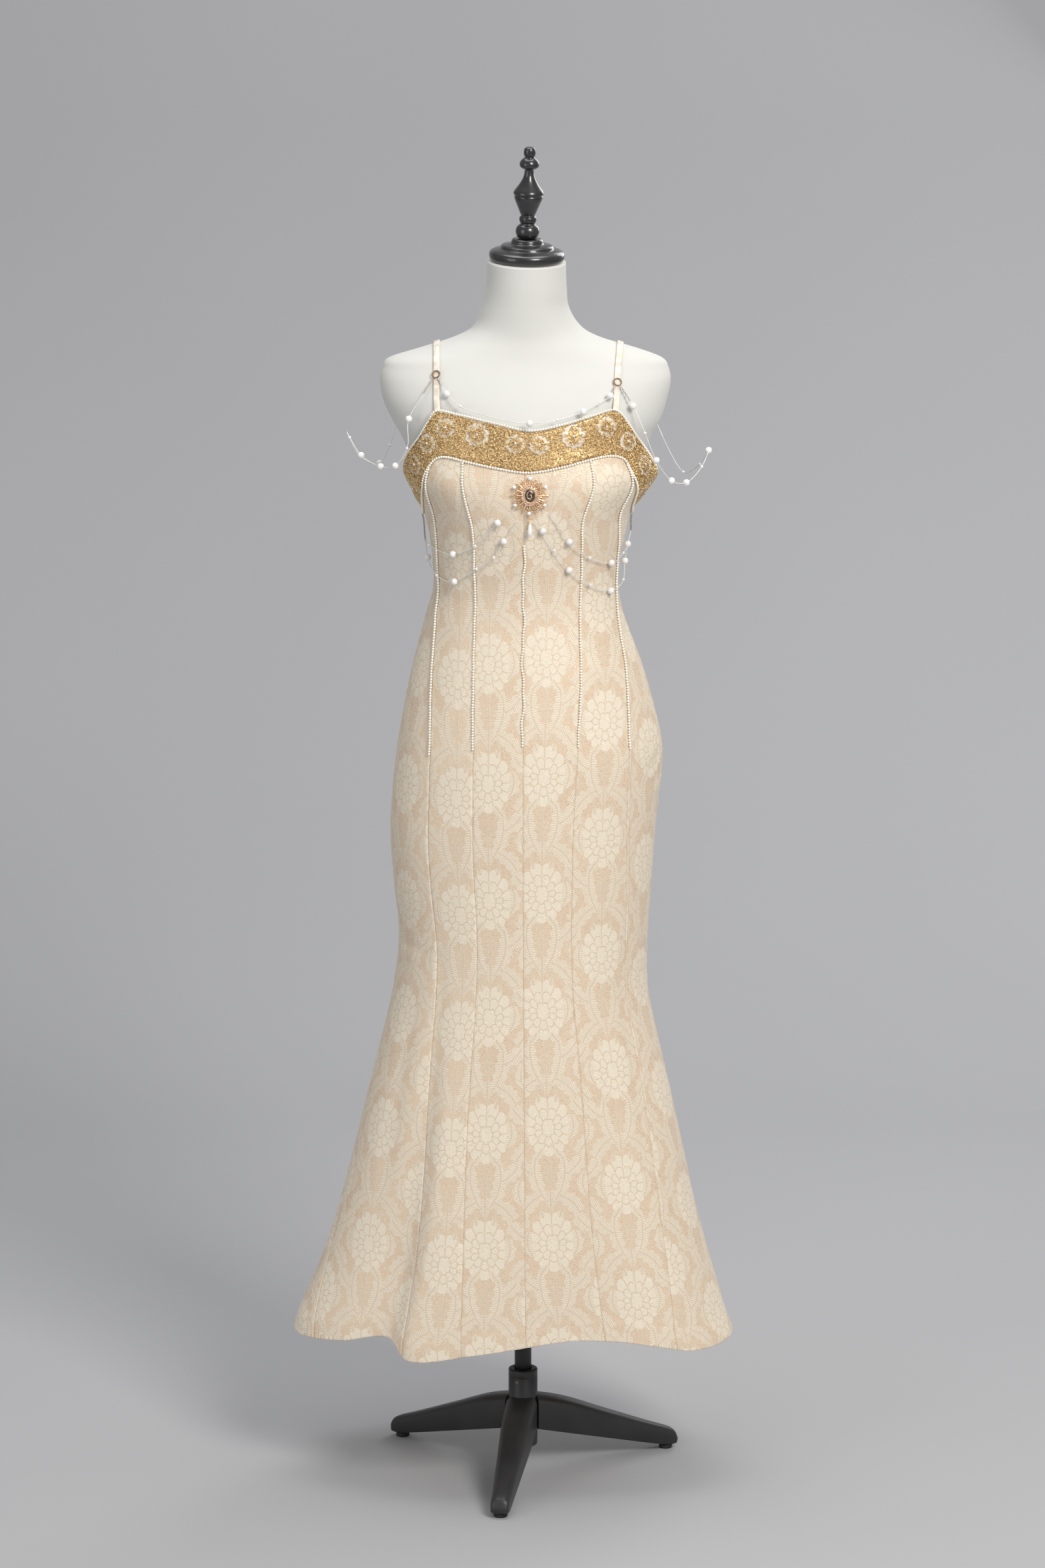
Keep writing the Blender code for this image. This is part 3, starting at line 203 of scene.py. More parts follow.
# %% [markdown]
# A table gives a size only at its rows. Between two rows a smooth curve is read, and numpy reads
# it for thousands of places at once. The cloth's normal comes from two short steps along it.

# %% Shape of the cloth
def between(table, at):
    """The table's columns at any places, on a smooth curve through its rows."""
    rows = np.array(sorted(table))
    at = np.clip(np.asarray(at, float), rows[0, 0], rows[-1, 0])
    last = len(rows) - 2
    low = np.clip(np.searchsorted(rows[:, 0], at, side="right") - 1, 0, last)
    a, b = rows[low], rows[low + 1]
    before, after = rows[np.maximum(low - 1, 0)], rows[np.minimum(low + 2, last + 1)]
    span = b[..., 0] - a[..., 0]
    share = (at - a[..., 0]) / span
    s2, s3 = share**2, share**3
    found = []
    for column in range(1, rows.shape[1]):
        slope_a = (b[..., column] - before[..., column]) / (b[..., 0] - before[..., 0])
        slope_b = (after[..., column] - a[..., column]) / (after[..., 0] - a[..., 0])
        found.append(
            (2 * s3 - 3 * s2 + 1) * a[..., column]
            + (s3 - 2 * s2 + share) * span * slope_a
            + (3 * s2 - 2 * s3) * b[..., column]
            + (s3 - s2) * span * slope_b
        )
    return found


def wrapped(turn):
    return (np.asarray(turn, float) + 180.0) % 360.0 - 180.0


def ease(value):
    value = np.clip(value, 0.0, 1.0)
    return value * value * (3.0 - 2.0 * value)


def cup_rise(turn, height):
    rise = 0.0
    for cup_turn, cup_height, out, spread, tall in CUPS:
        across = (wrapped(turn) - cup_turn) / spread
        rise = rise + out * np.exp(-(across**2) - ((height - cup_height) / tall) ** 2)
    return rise


def section_point(left, right, front, back, turn):
    angle = np.radians(turn)
    across, ahead = np.sin(angle), np.cos(angle)
    x = across * np.where(across > 0, right, left)
    y = -ahead * np.where(ahead > 0, front, back)
    return x, y


def bare_cloth(turn, height):
    """Points of the plain cloth, in the row's frame."""
    turn, height = np.broadcast_arrays(np.asarray(turn, float), np.asarray(height, float))
    left, right, front, back = between(SECTIONS, height)
    x, y = section_point(left, right, front, back, turn)
    down = np.clip((KNEE - height) / (KNEE - HEM), 0.0, 1.0)
    out = cup_rise(turn, height) + between(FLUTES, wrapped(turn))[0] * down**1.4
    angle = np.radians(turn)
    return np.stack([x + out * np.sin(angle), y - out * np.cos(angle), height], -1) + POLE


def outward(turn, height):
    """Normals of the plain cloth."""
    along = bare_cloth(turn + 0.5, height) - bare_cloth(turn - 0.5, height)
    up = bare_cloth(turn, height + 0.002) - bare_cloth(turn, height - 0.002)
    face = np.cross(along, up)
    return face / np.linalg.norm(face, axis=-1, keepdims=True)


def cloth_point(turn, height, out=0.0):
    """Points this far out of the cloth's face."""
    turn, height = np.broadcast_arrays(np.asarray(turn, float), np.asarray(height, float))
    return bare_cloth(turn, height) + np.asarray(out)[..., None] * outward(turn, height)


def band_low(turn):
    return between(BAND_EDGES, wrapped(turn))[0]


def band_top(turn):
    return between(BAND_EDGES, wrapped(turn))[1]


def hem_height(turn):
    return HEM + between(FLUTES, wrapped(turn))[1]


def seam_turns(height):
    """The eleven seam lines at these heights, from the left side round to it again."""
    front = between(SEAM_LINES, height)
    back = between(BACK_SEAM_LINE, height)[0]
    return [*front, back, np.full_like(back, 180.0), 360.0 - back, 360.0 + front[0]]


waist_round = np.linalg.norm(np.diff(bare_cloth(np.arange(0.0, 361.0), 1.166), axis=0), axis=1).sum()
print("waist measures", round(float(waist_round), 3), "m round")

# %% [markdown]
# Every finish below is a tree of nodes. Written out node by node, the sums would be hard to
# read, so a small class stands for a socket, and plain Python sums on it add the Math nodes.

# %% Sums on sockets
class Value:
    """A socket of a material that can be used in sums."""

    def __init__(self, finish, socket):
        self.finish, self.socket = finish, socket

    def __add__(self, other):
        return self.finish.maths("ADD", self, other)

    def __sub__(self, other):
        return self.finish.maths("SUBTRACT", self, other)

    def __rsub__(self, other):
        return self.finish.maths("SUBTRACT", other, self)

    def __mul__(self, other):
        return self.finish.maths("MULTIPLY", self, other)

    def __truediv__(self, other):
        return self.finish.maths("DIVIDE", self, other)

    def __rtruediv__(self, other):
        return self.finish.maths("DIVIDE", other, self)

    __radd__, __rmul__ = __add__, __mul__


class Finish:
    """A material that is built line by line. Constant sizes go on the shader's own sockets."""

    def __init__(self, name, **constants):
        self.material = bpy.data.materials.new(name)
        self.material.use_nodes = True
        self.tree = self.material.node_tree
        self.shader = self.tree.nodes["Principled BSDF"]
        for label, value in constants.items():
            self.shader.inputs[label.replace("_", " ")].default_value = value

    def plug(self, socket, value):
        if isinstance(value, Value):
            self.tree.links.new(value.socket, socket)
        else:
            socket.default_value = value

    def node(self, kind, settings=None, values=None, output=0):
        made = self.tree.nodes.new(kind)
        for label, value in (settings or {}).items():
            if label == "stops":
                while len(made.color_ramp.elements) < len(value):
                    made.color_ramp.elements.new(1.0)
                for stop, (place, colour) in zip(made.color_ramp.elements, value):
                    stop.position, stop.color = place, (*colour, 1.0)
            else:
                setattr(made, label, value)
        for label, value in (values or {}).items():
            self.plug(made.inputs[label], value)
        return Value(self, made.outputs[output])

    def maths(self, operation, *values):
        return self.node("ShaderNodeMath", {"operation": operation}, dict(enumerate(values)))

    def clip(self, value, low=0.0, high=1.0):
        return self.node("ShaderNodeClamp", None, {"Value": value, "Min": low, "Max": high})

    def step(self, value, low, high):
        """0 under low, 1 over high, and smooth between."""
        labels = {"Value": value, "From Min": low, "From Max": high}
        return self.node("ShaderNodeMapRange", {"interpolation_type": "SMOOTHSTEP"}, labels)

    def mix(self, share, first, second):
        """One colour that goes over into another."""
        colours = {}
        for slot, colour in ((6, first), (7, second)):
            colours[slot] = colour if isinstance(colour, Value) else (*colour, 1.0)
        return self.node("ShaderNodeMix", {"data_type": "RGBA"}, {0: share, **colours}, output=2)

    def place(self, layer=None):
        """Object coordinates, or the piece's own UV map."""
        if layer:
            return self.node("ShaderNodeUVMap", {"uv_map": layer})
        return self.node("ShaderNodeTexCoord", output="Object")

    def parts(self, vector):
        made = self.tree.nodes.new("ShaderNodeSeparateXYZ")
        self.plug(made.inputs[0], vector)
        return [Value(self, socket) for socket in made.outputs]

    def noise(self, place, scale, detail=2.0, roughness=0.5):
        labels = {"Vector": place, "Scale": scale, "Detail": detail, "Roughness": roughness}
        return self.node("ShaderNodeTexNoise", None, labels)

    def cells(self, place, scale, output="Color"):
        return self.node("ShaderNodeTexVoronoi", None, {"Vector": place, "Scale": scale}, output=output)

    def attribute(self, label):
        return self.node("ShaderNodeAttribute", {"attribute_name": label}, output="Fac")

    def feed(self, label, value):
        self.plug(self.shader.inputs[label], value)

    def relief(self, height, distance):
        """A Bump of this height in metres, on the shader's normal."""
        labels = {"Height": height, "Distance": distance, "Strength": 1.0}
        self.feed("Normal", self.node("ShaderNodeBump", None, labels))


print("sockets can be added, multiplied and mixed")

# %% [markdown]
# Pieces are made in mesh code. A wall is two grids of points, an outer and an inner one, that
# are joined round the rim: this is how a sheet of cloth gets a real thickness and a plain
# inside. A turned piece is a profile that is spun about an axis.

# %% Mesh helpers
def piece(name, mesh, finish=None):
    """An object at the origin, with smooth shading."""
    mesh.shade_smooth()
    made = bpy.data.objects.new(name, mesh)
    bpy.context.scene.collection.objects.link(made)
    if finish:
        mesh.materials.clear()
        mesh.materials.append(finish.material)
    return made


def drawn(name, points, faces):
    mesh = bpy.data.meshes.new(name)
    mesh.from_pydata([tuple(p) for p in points], [], faces)
    mesh.update()
    return mesh


def wall_mesh(name, outer, inner, flat=None, layer="cloth"):
    """A closed wall. Rows run down, columns run to the right as seen from outside."""
    rows, columns = outer.shape[:2]
    points = np.concatenate([outer.reshape(-1, 3), inner.reshape(-1, 3)])
    index = np.arange(rows * columns).reshape(rows, columns)
    back = index + rows * columns
    a, b, c, d = index[:-1, :-1], index[1:, :-1], index[1:, 1:], index[:-1, 1:]
    front_faces = np.stack([a, b, c, d], -1).reshape(-1, 4)
    back_faces = front_faces[:, ::-1] + rows * columns
    rim = []
    for first, second, near, far in (
        (index[:-1, 0], index[1:, 0], back[:-1, 0], back[1:, 0]),
        (index[1:, -1], index[:-1, -1], back[1:, -1], back[:-1, -1]),
        (index[-1, :-1], index[-1, 1:], back[-1, :-1], back[-1, 1:]),
        (index[0, 1:], index[0, :-1], back[0, 1:], back[0, :-1]),
    ):
        rim.append(np.stack([first, near, far, second], -1))
    faces = np.concatenate([front_faces, back_faces, *rim])
    mesh = bpy.data.meshes.new(name)
    mesh.from_pydata(points, [], faces.tolist())
    mesh.update()
    if flat is not None:
        chart = mesh.uv_layers.new(name=layer)
        place = np.concatenate([flat.reshape(-1, 2)] * 2)
        corners = np.empty(len(mesh.loops), dtype=np.int32)
        mesh.loops.foreach_get("vertex_index", corners)
        chart.data.foreach_set("uv", place[corners].astype(np.float32).ravel())
    return mesh


def turned_mesh(name, profile, steps, axis_to=None, rounded=True, between_rows=4):
    """A turned piece from radius and height down its profile, in metres."""
    rows = np.array(profile, float)
    if rounded:
        table = [(i, *row) for i, row in enumerate(rows)]
        fine = np.linspace(0, len(rows) - 1, (len(rows) - 1) * between_rows + 1)
        rows = np.stack(between(table, fine), -1)
        rows[:, 0] = np.maximum(rows[:, 0], 0.0)
    turns = np.linspace(0.0, 2 * math.pi, steps, endpoint=False)
    points, rings = [], []
    for radius, height in rows:
        if radius < 1e-5:
            rings.append([len(points)] * steps)
            points.append((0.0, 0.0, height))
        else:
            rings.append(list(range(len(points), len(points) + steps)))
            points += [(radius * math.cos(t), radius * math.sin(t), height) for t in turns]
    faces = []
    for upper, lower in zip(rings, rings[1:]):
        for i in range(steps):
            j = (i + 1) % steps
            corner = list(dict.fromkeys((upper[i], lower[i], lower[j], upper[j])))
            if len(corner) > 2:
                faces.append(corner)
    mesh = drawn(name, points, faces)
    if axis_to is not None:
        mesh.transform(axis_to)
    return outward_faces(mesh)


def outward_faces(mesh):
    """Turns the faces of a closed mesh out."""
    bm = bmesh.new()
    bm.from_mesh(mesh)
    bmesh.ops.remove_doubles(bm, verts=bm.verts, dist=1e-7)
    bmesh.ops.recalc_face_normals(bm, faces=bm.faces)
    bm.to_mesh(mesh)
    bm.free()
    return mesh


def lofted(name, rings):
    """A closed mesh through rings of the same number of points."""
    count = len(rings[0])
    points = [tuple(p) for ring in rings for p in ring]
    faces = []
    for r in range(len(rings) - 1):
        for i in range(count):
            j = (i + 1) % count
            faces.append((r * count + i, r * count + j, (r + 1) * count + j, (r + 1) * count + i))
    faces.append(tuple(reversed(range(count))))
    faces.append(tuple(range((len(rings) - 1) * count, len(rings) * count)))
    return outward_faces(drawn(name, points, faces))


def joined(name, meshes):
    """Several meshes as one."""
    bm = bmesh.new()
    for mesh in meshes:
        bm.from_mesh(mesh)
    made = bpy.data.meshes.new(name)
    bm.to_mesh(made)
    bm.free()
    return made


def ball(radius, place, segments=24, rings=14, stretch=(1.0, 1.0, 1.0)):
    bm = bmesh.new()
    bmesh.ops.create_uvsphere(bm, u_segments=segments, v_segments=rings, radius=radius)
    bm.transform(Matrix.Translation(place) @ Matrix.Diagonal((*stretch, 1.0)))
    mesh = bpy.data.meshes.new("ball")
    bm.to_mesh(mesh)
    bm.free()
    return mesh


def smooth_line(points, count):
    """Points at even steps along a smooth curve through the given points."""
    table = [(i, *p) for i, p in enumerate(points)]
    fine = np.stack(between(table, np.linspace(0, len(points) - 1, 1201)), -1)
    lengths = np.concatenate([[0.0], np.cumsum(np.linalg.norm(np.diff(fine, axis=0), axis=1))])
    goal = np.linspace(0.0, lengths[-1], count)
    return np.stack([np.interp(goal, lengths, fine[:, k]) for k in range(3)], -1)


def line_length(points):
    return float(np.linalg.norm(np.diff(points, axis=0), axis=1).sum())


def tube_mesh(name, points, radius, sides=10):
    """A round tube along a line, closed at both ends. The radius may vary along it."""
    points = np.asarray(points, float)
    radii = np.broadcast_to(np.asarray(radius, float), (len(points),))
    ahead = np.gradient(points, axis=0)
    ahead /= np.linalg.norm(ahead, axis=1, keepdims=True)
    side = np.cross(ahead[0], (0.0, 0.0, 1.0) if abs(ahead[0][2]) < 0.9 else (1.0, 0.0, 0.0))
    rings = []
    for point, way, reach in zip(points, ahead, radii):
        side = side - way * side.dot(way)
        side /= np.linalg.norm(side)
        other = np.cross(way, side)
        angles = np.linspace(0, 2 * math.pi, sides, endpoint=False)
        rings.append([point + reach * (math.cos(t) * side + math.sin(t) * other) for t in angles])
    return lofted(name, rings)


print("walls, turned pieces, lofts and tubes are ready")

# %% [markdown]
# Pearls on a string, chain links and bugle beads repeat hundreds of times. Geometry Nodes place
# them, so that one number changes them all. Each tree is built here with named sizes and a fixed
# seed, its result is turned into a plain mesh, and the modifier is taken off again.

# %% Geometry Nodes helper
class Recipe:
    """A Geometry Nodes tree with named sizes."""

    def __init__(self, name, **sizes):
        self.group = bpy.data.node_groups.new(name, "GeometryNodeTree")
        face = self.group.interface
        face.new_socket("Geometry", in_out="INPUT", socket_type="NodeSocketGeometry")
        for label, size in sizes.items():
            kind = "NodeSocketInt" if isinstance(size, int) else "NodeSocketFloat"
            made = face.new_socket(label, in_out="INPUT", socket_type=kind)
            made.default_value = size
        face.new_socket("Geometry", in_out="OUTPUT", socket_type="NodeSocketGeometry")
        self.start = self.group.nodes.new("NodeGroupInput")
        self.end = self.group.nodes.new("NodeGroupOutput")

    def size(self, label):
        return self.start.outputs[label]

    def node(self, kind, settings=None, values=None, output=0):
        made = self.group.nodes.new(kind)
        for label, value in (settings or {}).items():
            setattr(made, label, value)
        for label, value in (values or {}).items():
            if isinstance(value, bpy.types.NodeSocket):
                self.group.links.new(value, made.inputs[label])
            else:
                made.inputs[label].default_value = value
        return made.outputs[output]

    def finish_with(self, geometry, finish):
        """Ends the tree in real, smooth geometry with its material."""
        real = self.node("GeometryNodeRealizeInstances", None, {"Geometry": geometry})
        smooth = self.node("GeometryNodeSetShadeSmooth", None, {"Geometry": real})
        dressed = self.node("GeometryNodeSetMaterial", None, {"Geometry": smooth})
        dressed.node.inputs["Material"].default_value = finish.material
        self.group.links.new(dressed, self.end.inputs[0])

    def grow(self, name, source, **sizes):
        """Runs the tree on an object and gives the result as a plain mesh object."""
        modifier = source.modifiers.new("grow", "NODES")
        modifier.node_group = self.group
        for item in self.group.interface.items_tree:
            if item.in_out == "INPUT" and item.name in sizes:
                modifier[item.identifier] = sizes[item.name]
        graph = bpy.context.evaluated_depsgraph_get()
        mesh = bpy.data.meshes.new_from_object(source.evaluated_get(graph), depsgraph=graph)
        source.modifiers.remove(modifier)
        mesh.name = name
        made = bpy.data.objects.new(name, mesh)
        bpy.context.scene.collection.objects.link(made)
        return made


def guide(name, points):
    """A curve of one open line."""
    curve = bpy.data.curves.new(name, "CURVE")
    curve.dimensions = "3D"
    line = curve.splines.new("POLY")
    line.points.add(len(points) - 1)
    line.points.foreach_set("co", np.concatenate([points, np.ones((len(points), 1))], 1).ravel())
    made = bpy.data.objects.new(name, curve)
    bpy.context.scene.collection.objects.link(made)
    return made


def sewing_line(name, points):
    """A line of edges through the points, for a tree to follow."""
    mesh = bpy.data.meshes.new(name)
    mesh.from_pydata([tuple(p) for p in points], [(i, i + 1) for i in range(len(points) - 1)], [])
    made = bpy.data.objects.new(name, mesh)
    bpy.context.scene.collection.objects.link(made)
    return made


def forget(thing):
    bpy.data.objects.remove(thing)


print("Geometry Nodes recipes are ready")

# %% [markdown]
# Now the finishes. A pearl is never one flat cream: its body is slightly translucent, its skin
# is glossy, and each pearl differs a little from the next. White noise on small cells gives
# every bead a shade of its own.

# %% Pearl, gold and cord finishes
def pearl_finish(name, shade, dark, cell):
    made = Finish(name, Roughness=0.24, Coat_Weight=0.35, Coat_Roughness=0.08)
    place = made.place()
    own = made.parts(made.cells(place, 1.0 / cell))[0]
    cloudy = made.noise(place, 450.0, 2.0)
    made.feed("Base Color", made.mix(made.clip(own * 0.7 + cloudy * 0.4), dark, shade))
    made.feed("Roughness", 0.16 + cloudy * 0.16)
    made.relief(made.noise(place, 900.0, 2.0), 0.00002)
    return made


def gold_finish(name, light, deep, cell, roughness):
    made = Finish(name, Metallic=0.92)
    place = made.place()
    own = made.parts(made.cells(place, 1.0 / cell))[1]
    made.feed("Base Color", made.mix(own, deep, light))
    made.feed("Roughness", roughness + own * 0.18)
    made.relief(made.noise(place, 1400.0, 2.0), 0.00003)
    return made


STRING_PEARL = pearl_finish("string_pearl", (0.98, 0.95, 0.87), (0.93, 0.88, 0.77), 0.0036)
WHITE_PEARL = pearl_finish("white_pearl", (0.93, 0.92, 0.91), (0.80, 0.78, 0.77), 0.009)
PINK_PEARL = pearl_finish("pink_pearl", (0.84, 0.62, 0.54), (0.66, 0.42, 0.35), 0.002)
BEAD_GOLD = gold_finish("bead_gold", (1.0, 0.80, 0.46), (0.60, 0.38, 0.16), 0.0018, 0.18)
ROSE_GOLD = gold_finish("rose_gold", (1.0, 0.80, 0.58), (0.84, 0.58, 0.36), 0.003, 0.26)

ANTIQUE = Finish("antique_metal", Metallic=0.95)
tarnish = ANTIQUE.noise(ANTIQUE.place(), 900.0, 4.0, 0.65)
ANTIQUE.feed("Base Color", ANTIQUE.mix(ANTIQUE.step(tarnish, 0.35, 0.65), (0.10, 0.065, 0.04), (0.46, 0.34, 0.22)))
ANTIQUE.feed("Roughness", 0.25 + tarnish * 0.3)
ANTIQUE.relief(tarnish, 0.00006)

CLEAR_CORD = Finish("clear_cord", Roughness=0.12, Coat_Weight=0.5)
haze = CLEAR_CORD.noise(CLEAR_CORD.place(), 260.0, 3.0)
CLEAR_CORD.feed("Base Color", CLEAR_CORD.mix(haze, (0.60, 0.60, 0.58), (0.86, 0.86, 0.83)))
CLEAR_CORD.feed("Roughness", 0.08 + haze * 0.14)
print("finishes so far:", len(bpy.data.materials))

# %% [markdown]
# The swags are clear cords with large pearls. They are the free cords of the dress, so they are
# made first: each is one line of its real length, from a ring on the strap or a chain on the
# band to where it goes back into the dress. The places of the large and small pearls were
# measured, and the pearls are pieces of their own on the cord.

# %% Places of the swags
BROOCH_TURN, BROOCH_HEIGHT = 3.0, 1.2965
BROOCH_WIDE, BROOCH_UP, BROOCH_DOWN = 0.025, 0.0240, 0.0265
CORD_WIDE = 0.0011
SOLID_CORD = 0.0012
RING_RADIUS, RING_WIRE = 0.0048, 0.0009
RING_HEIGHTS = {"left": 1.440, "right": 1.431}
STRAPS = {"left": (-0.1075, -0.1085, -0.0860), "right": (0.1160, 0.1225, 0.0900)}
STRAP_LIFT, SWAG_BACK_HEIGHT = 0.0020, 1.425
SHOULDER_MIDDLE = (0.010, 1.400)

# turn, height, distance off the cloth, pearl: 0 none, 1 large, 2 small
WAIST_SWAGS = {
    "swag_waist_left_upper": (
        (-89.35, 1.2285, 0.0062, 0), (-76.0, 1.224, 0.0056, 2), (-65.0, 1.221, 0.0054, 0),
        (-47.0, 1.218, 0.0054, 1), (-28.6, 1.232, 0.0054, 2), (-14.4, 1.262, 0.0056, 1),
        (-7.0, 1.2765, 0.0056, 0),
    ),
    "swag_waist_left_lower": (
        (-90.0, 1.226, 0.0062, 0), (-88.0, 1.203, 0.0056, 1), (-66.0, 1.186, 0.0054, 2),
        (-47.0, 1.182, 0.0054, 1), (-29.7, 1.201, 0.0054, 2), (-18.0, 1.217, 0.0054, 2),
        (-11.5, 1.238, 0.0054, 1), (-2.6, 1.2655, 0.0056, 0),
    ),
    "swag_waist_right_upper": (
        (13.0, 1.2765, 0.0056, 0), (25.5, 1.237, 0.0054, 1), (40.0, 1.215, 0.0054, 2),
        (60.0, 1.204, 0.0054, 1), (75.5, 1.213, 0.0054, 2), (87.0, 1.222, 0.0058, 1),
        (92.15, 1.2385, 0.0062, 0),
    ),
    "swag_waist_right_lower": (
        (5.8, 1.2655, 0.0056, 0), (10.5, 1.252, 0.0056, 1), (17.5, 1.226, 0.0054, 2),
        (27.7, 1.199, 0.0054, 1), (41.8, 1.179, 0.0054, 2), (61.8, 1.167, 0.0054, 1),
        (84.0, 1.175, 0.0064, 2), (97.0, 1.200, 0.0080, 1), (93.0, 1.236, 0.0062, 0),
    ),
}
# X, Y, Z from the pole's axis, pearl: 0 none, 1 large, 2 small
FREE_SWAGS = {
    "swag_arm_left": (
        (-0.1240, -0.0640, 1.4180, 0), (-0.1430, -0.0720, 1.3860, 1),
        (-0.1440, -0.0780, 1.3540, 2), (-0.1580, -0.0700, 1.3290, 1), (-0.1770, -0.0480, 1.3240, 1),
        (-0.2030, -0.0230, 1.3345, 1), (-0.2200, -0.0050, 1.3580, 2), (-0.2225, 0.0050, 1.3625, 0),
        (-0.2090, 0.0250, 1.3310, 2), (-0.1850, 0.0500, 1.3170, 1), (-0.1700, 0.0680, 1.3400, 2),
        (-0.1550, 0.0830, 1.3850, 0), (-0.1320, 0.0900, 1.4120, 0),
    ),
    "swag_arm_right": (
        (0.1390, -0.0700, 1.4000, 1), (0.1520, -0.0760, 1.3700, 2),
        (0.1660, -0.0760, 1.3360, 1), (0.1850, -0.0620, 1.3090, 1), (0.2050, -0.0400, 1.3030, 1),
        (0.2240, -0.0160, 1.3180, 2), (0.2350, 0.0000, 1.3400, 1), (0.2260, 0.0210, 1.3210, 2),
        (0.2060, 0.0480, 1.3060, 2), (0.1880, 0.0680, 1.3300, 0), (0.1640, 0.0860, 1.3800, 0),
        (0.1420, 0.0910, 1.4100, 0),
    ),
    "swag_chest": (
        (-0.0960, -0.0740, 1.4190, 1), (-0.0770, -0.0920, 1.4040, 2),
        (-0.0520, -0.1030, 1.3960, 0), (-0.0200, -0.1130, 1.3885, 0), (0.0100, -0.1160, 1.3855, 1),
        (0.0420, -0.1100, 1.3895, 2), (0.0740, -0.0980, 1.3980, 1), (0.0950, -0.0850, 1.4080, 2),
        (0.1080, -0.0760, 1.4150, 1),
    ),
}
# Chains from the band down to the waist swags: turn, height of the foot
CHAINS = {"left": (-90.0, 1.2263), "right": (93.0, 1.2363)}
print(len(WAIST_SWAGS) + len(FREE_SWAGS), "swags")

# %% [markdown]
# The straps follow the shoulder of the form, and the free swags hang from rings on them. The
# shoulder is found by stepping out from a middle point until the form's face is met.

# %% The form's face and the path of a strap
def form_row(height):
    """Half widths, depths and middle of the form at these heights."""
    inset = CLOTH + FORM_CLEAR
    upper = between(FORM_SECTIONS, height)
    lower = [*(size - inset for size in between(SECTIONS, height)), np.zeros(np.shape(height))]
    high = np.asarray(height) >= FORM_SECTIONS[-1][0]
    return [np.where(high, a, b) for a, b in zip(upper, lower)]


def form_value(point):
    """Under 1 inside the form and 1 on its face, for points from the pole's axis."""
    x, y, z = point[..., 0], point[..., 1], point[..., 2]
    left, right, front, back, middle = form_row(z)
    across = x / np.where(x > 0, right, left)
    ahead = (y - middle) / np.where(y > middle, back, front)
    return across**2 + ahead**2


def form_face(point):
    step = 0.0005
    slope = [form_value(point + axis * step) - form_value(point - axis * step) for axis in np.eye(3)]
    slope = np.stack(slope, -1)
    return slope / np.linalg.norm(slope, axis=-1, keepdims=True)


FRONT_HALF = {"left": 0.178, "right": 0.1855}  # half width of the form where a strap leaves the band


def strap_path(side):
    """Points and normals of a strap's middle, from the front of the band over to the back."""
    front_x, top_x, back_x = STRAPS[side]
    degrees = np.arange(0.0, 193.0, 8.0)
    share = degrees / 95.0
    x = np.where(share < 1, front_x + (top_x - front_x) * ease(share), top_x)
    angle = np.radians(degrees)
    way = np.stack([np.zeros_like(angle), -np.cos(angle), np.sin(angle)], -1)
    start = np.stack([x, np.full_like(x, SHOULDER_MIDDLE[0]), np.full_like(x, SHOULDER_MIDDLE[1])], -1)
    low, high = np.zeros_like(x), np.full_like(x, 0.2)
    for _ in range(40):
        reach = (low + high) / 2
        inside = form_value(start + way * reach[:, None]) < 1.0
        low, high = np.where(inside, reach, low), np.where(inside, high, reach)
    points = start + way * low[:, None]
    faces = form_face(points)
    base_turn = math.degrees(math.asin(front_x / FRONT_HALF[side]))
    base_height = float(band_top(base_turn)) + SEAM
    base_face = outward(base_turn, base_height)
    base = cloth_point(base_turn, base_height, -CLOTH - STRAP_THICK / 2) - POLE
    path = [(base, base_face)]
    for point, face in zip(points + faces * STRAP_LIFT, faces):
        if point[2] > base_height + 0.008 or point[1] > 0.0:
            path.append((point, face))
    last = path[-1][0]
    for share in (0.3, 0.6, 1.0):
        height = last[2] + (float(band_top(180.0)) + 0.0045 - last[2]) * share
        x = last[0] + (back_x - last[0]) * share
        left, right, _, back, middle = form_row(height)
        half = right if x > 0 else left
        y = middle + back * math.sqrt(max(1.0 - (x / half) ** 2, 0.0))
        point = np.array((x, float(y), height))
        face = form_face(point)
        path.append((point + face * STRAP_LIFT, face))
    places = np.array([point for point, _ in path]) + POLE
    return places, np.array([face for _, face in path])


def at_height(places, faces, height):
    """Point and normal where a path first passes this height."""
    for i in range(len(places) - 1):
        a, b = places[i][2], places[i + 1][2]
        if (a - height) * (b - height) <= 0:
            share = (height - a) / (b - a)
            face = faces[i] + (faces[i + 1] - faces[i]) * share
            return places[i] + (places[i + 1] - places[i]) * share, face / np.linalg.norm(face)
    raise ValueError(height)


STRAP_PATHS = {side: strap_path(side) for side in STRAPS}
RING_SEATS, STRAP_BACKS, RING_FACES = {}, {}, {}
for side, (places, faces) in STRAP_PATHS.items():
    point, face = at_height(places, faces, RING_HEIGHTS[side])
    RING_SEATS[side] = point + face * (STRAP_THICK / 2 + RING_WIRE + 2 * SEAM)
    RING_FACES[side] = face
    back, back_face = at_height(places[::-1], faces[::-1], SWAG_BACK_HEIGHT)
    STRAP_BACKS[side] = back + back_face * ((STRAP_THICK + SOLID_CORD) / 2 + SEAM)
    print(side, "strap is", round(line_length(places), 3), "m long")

# %% [markdown]
# A cord is a curve with a round bevel. Its pearls are balls, a little flattened along their hole,
# which is turned to lie along the cord.

# %% Cords of the swags and their pearls
CORD_STATIONS = 64
SMALL_BEAD = 0.0038


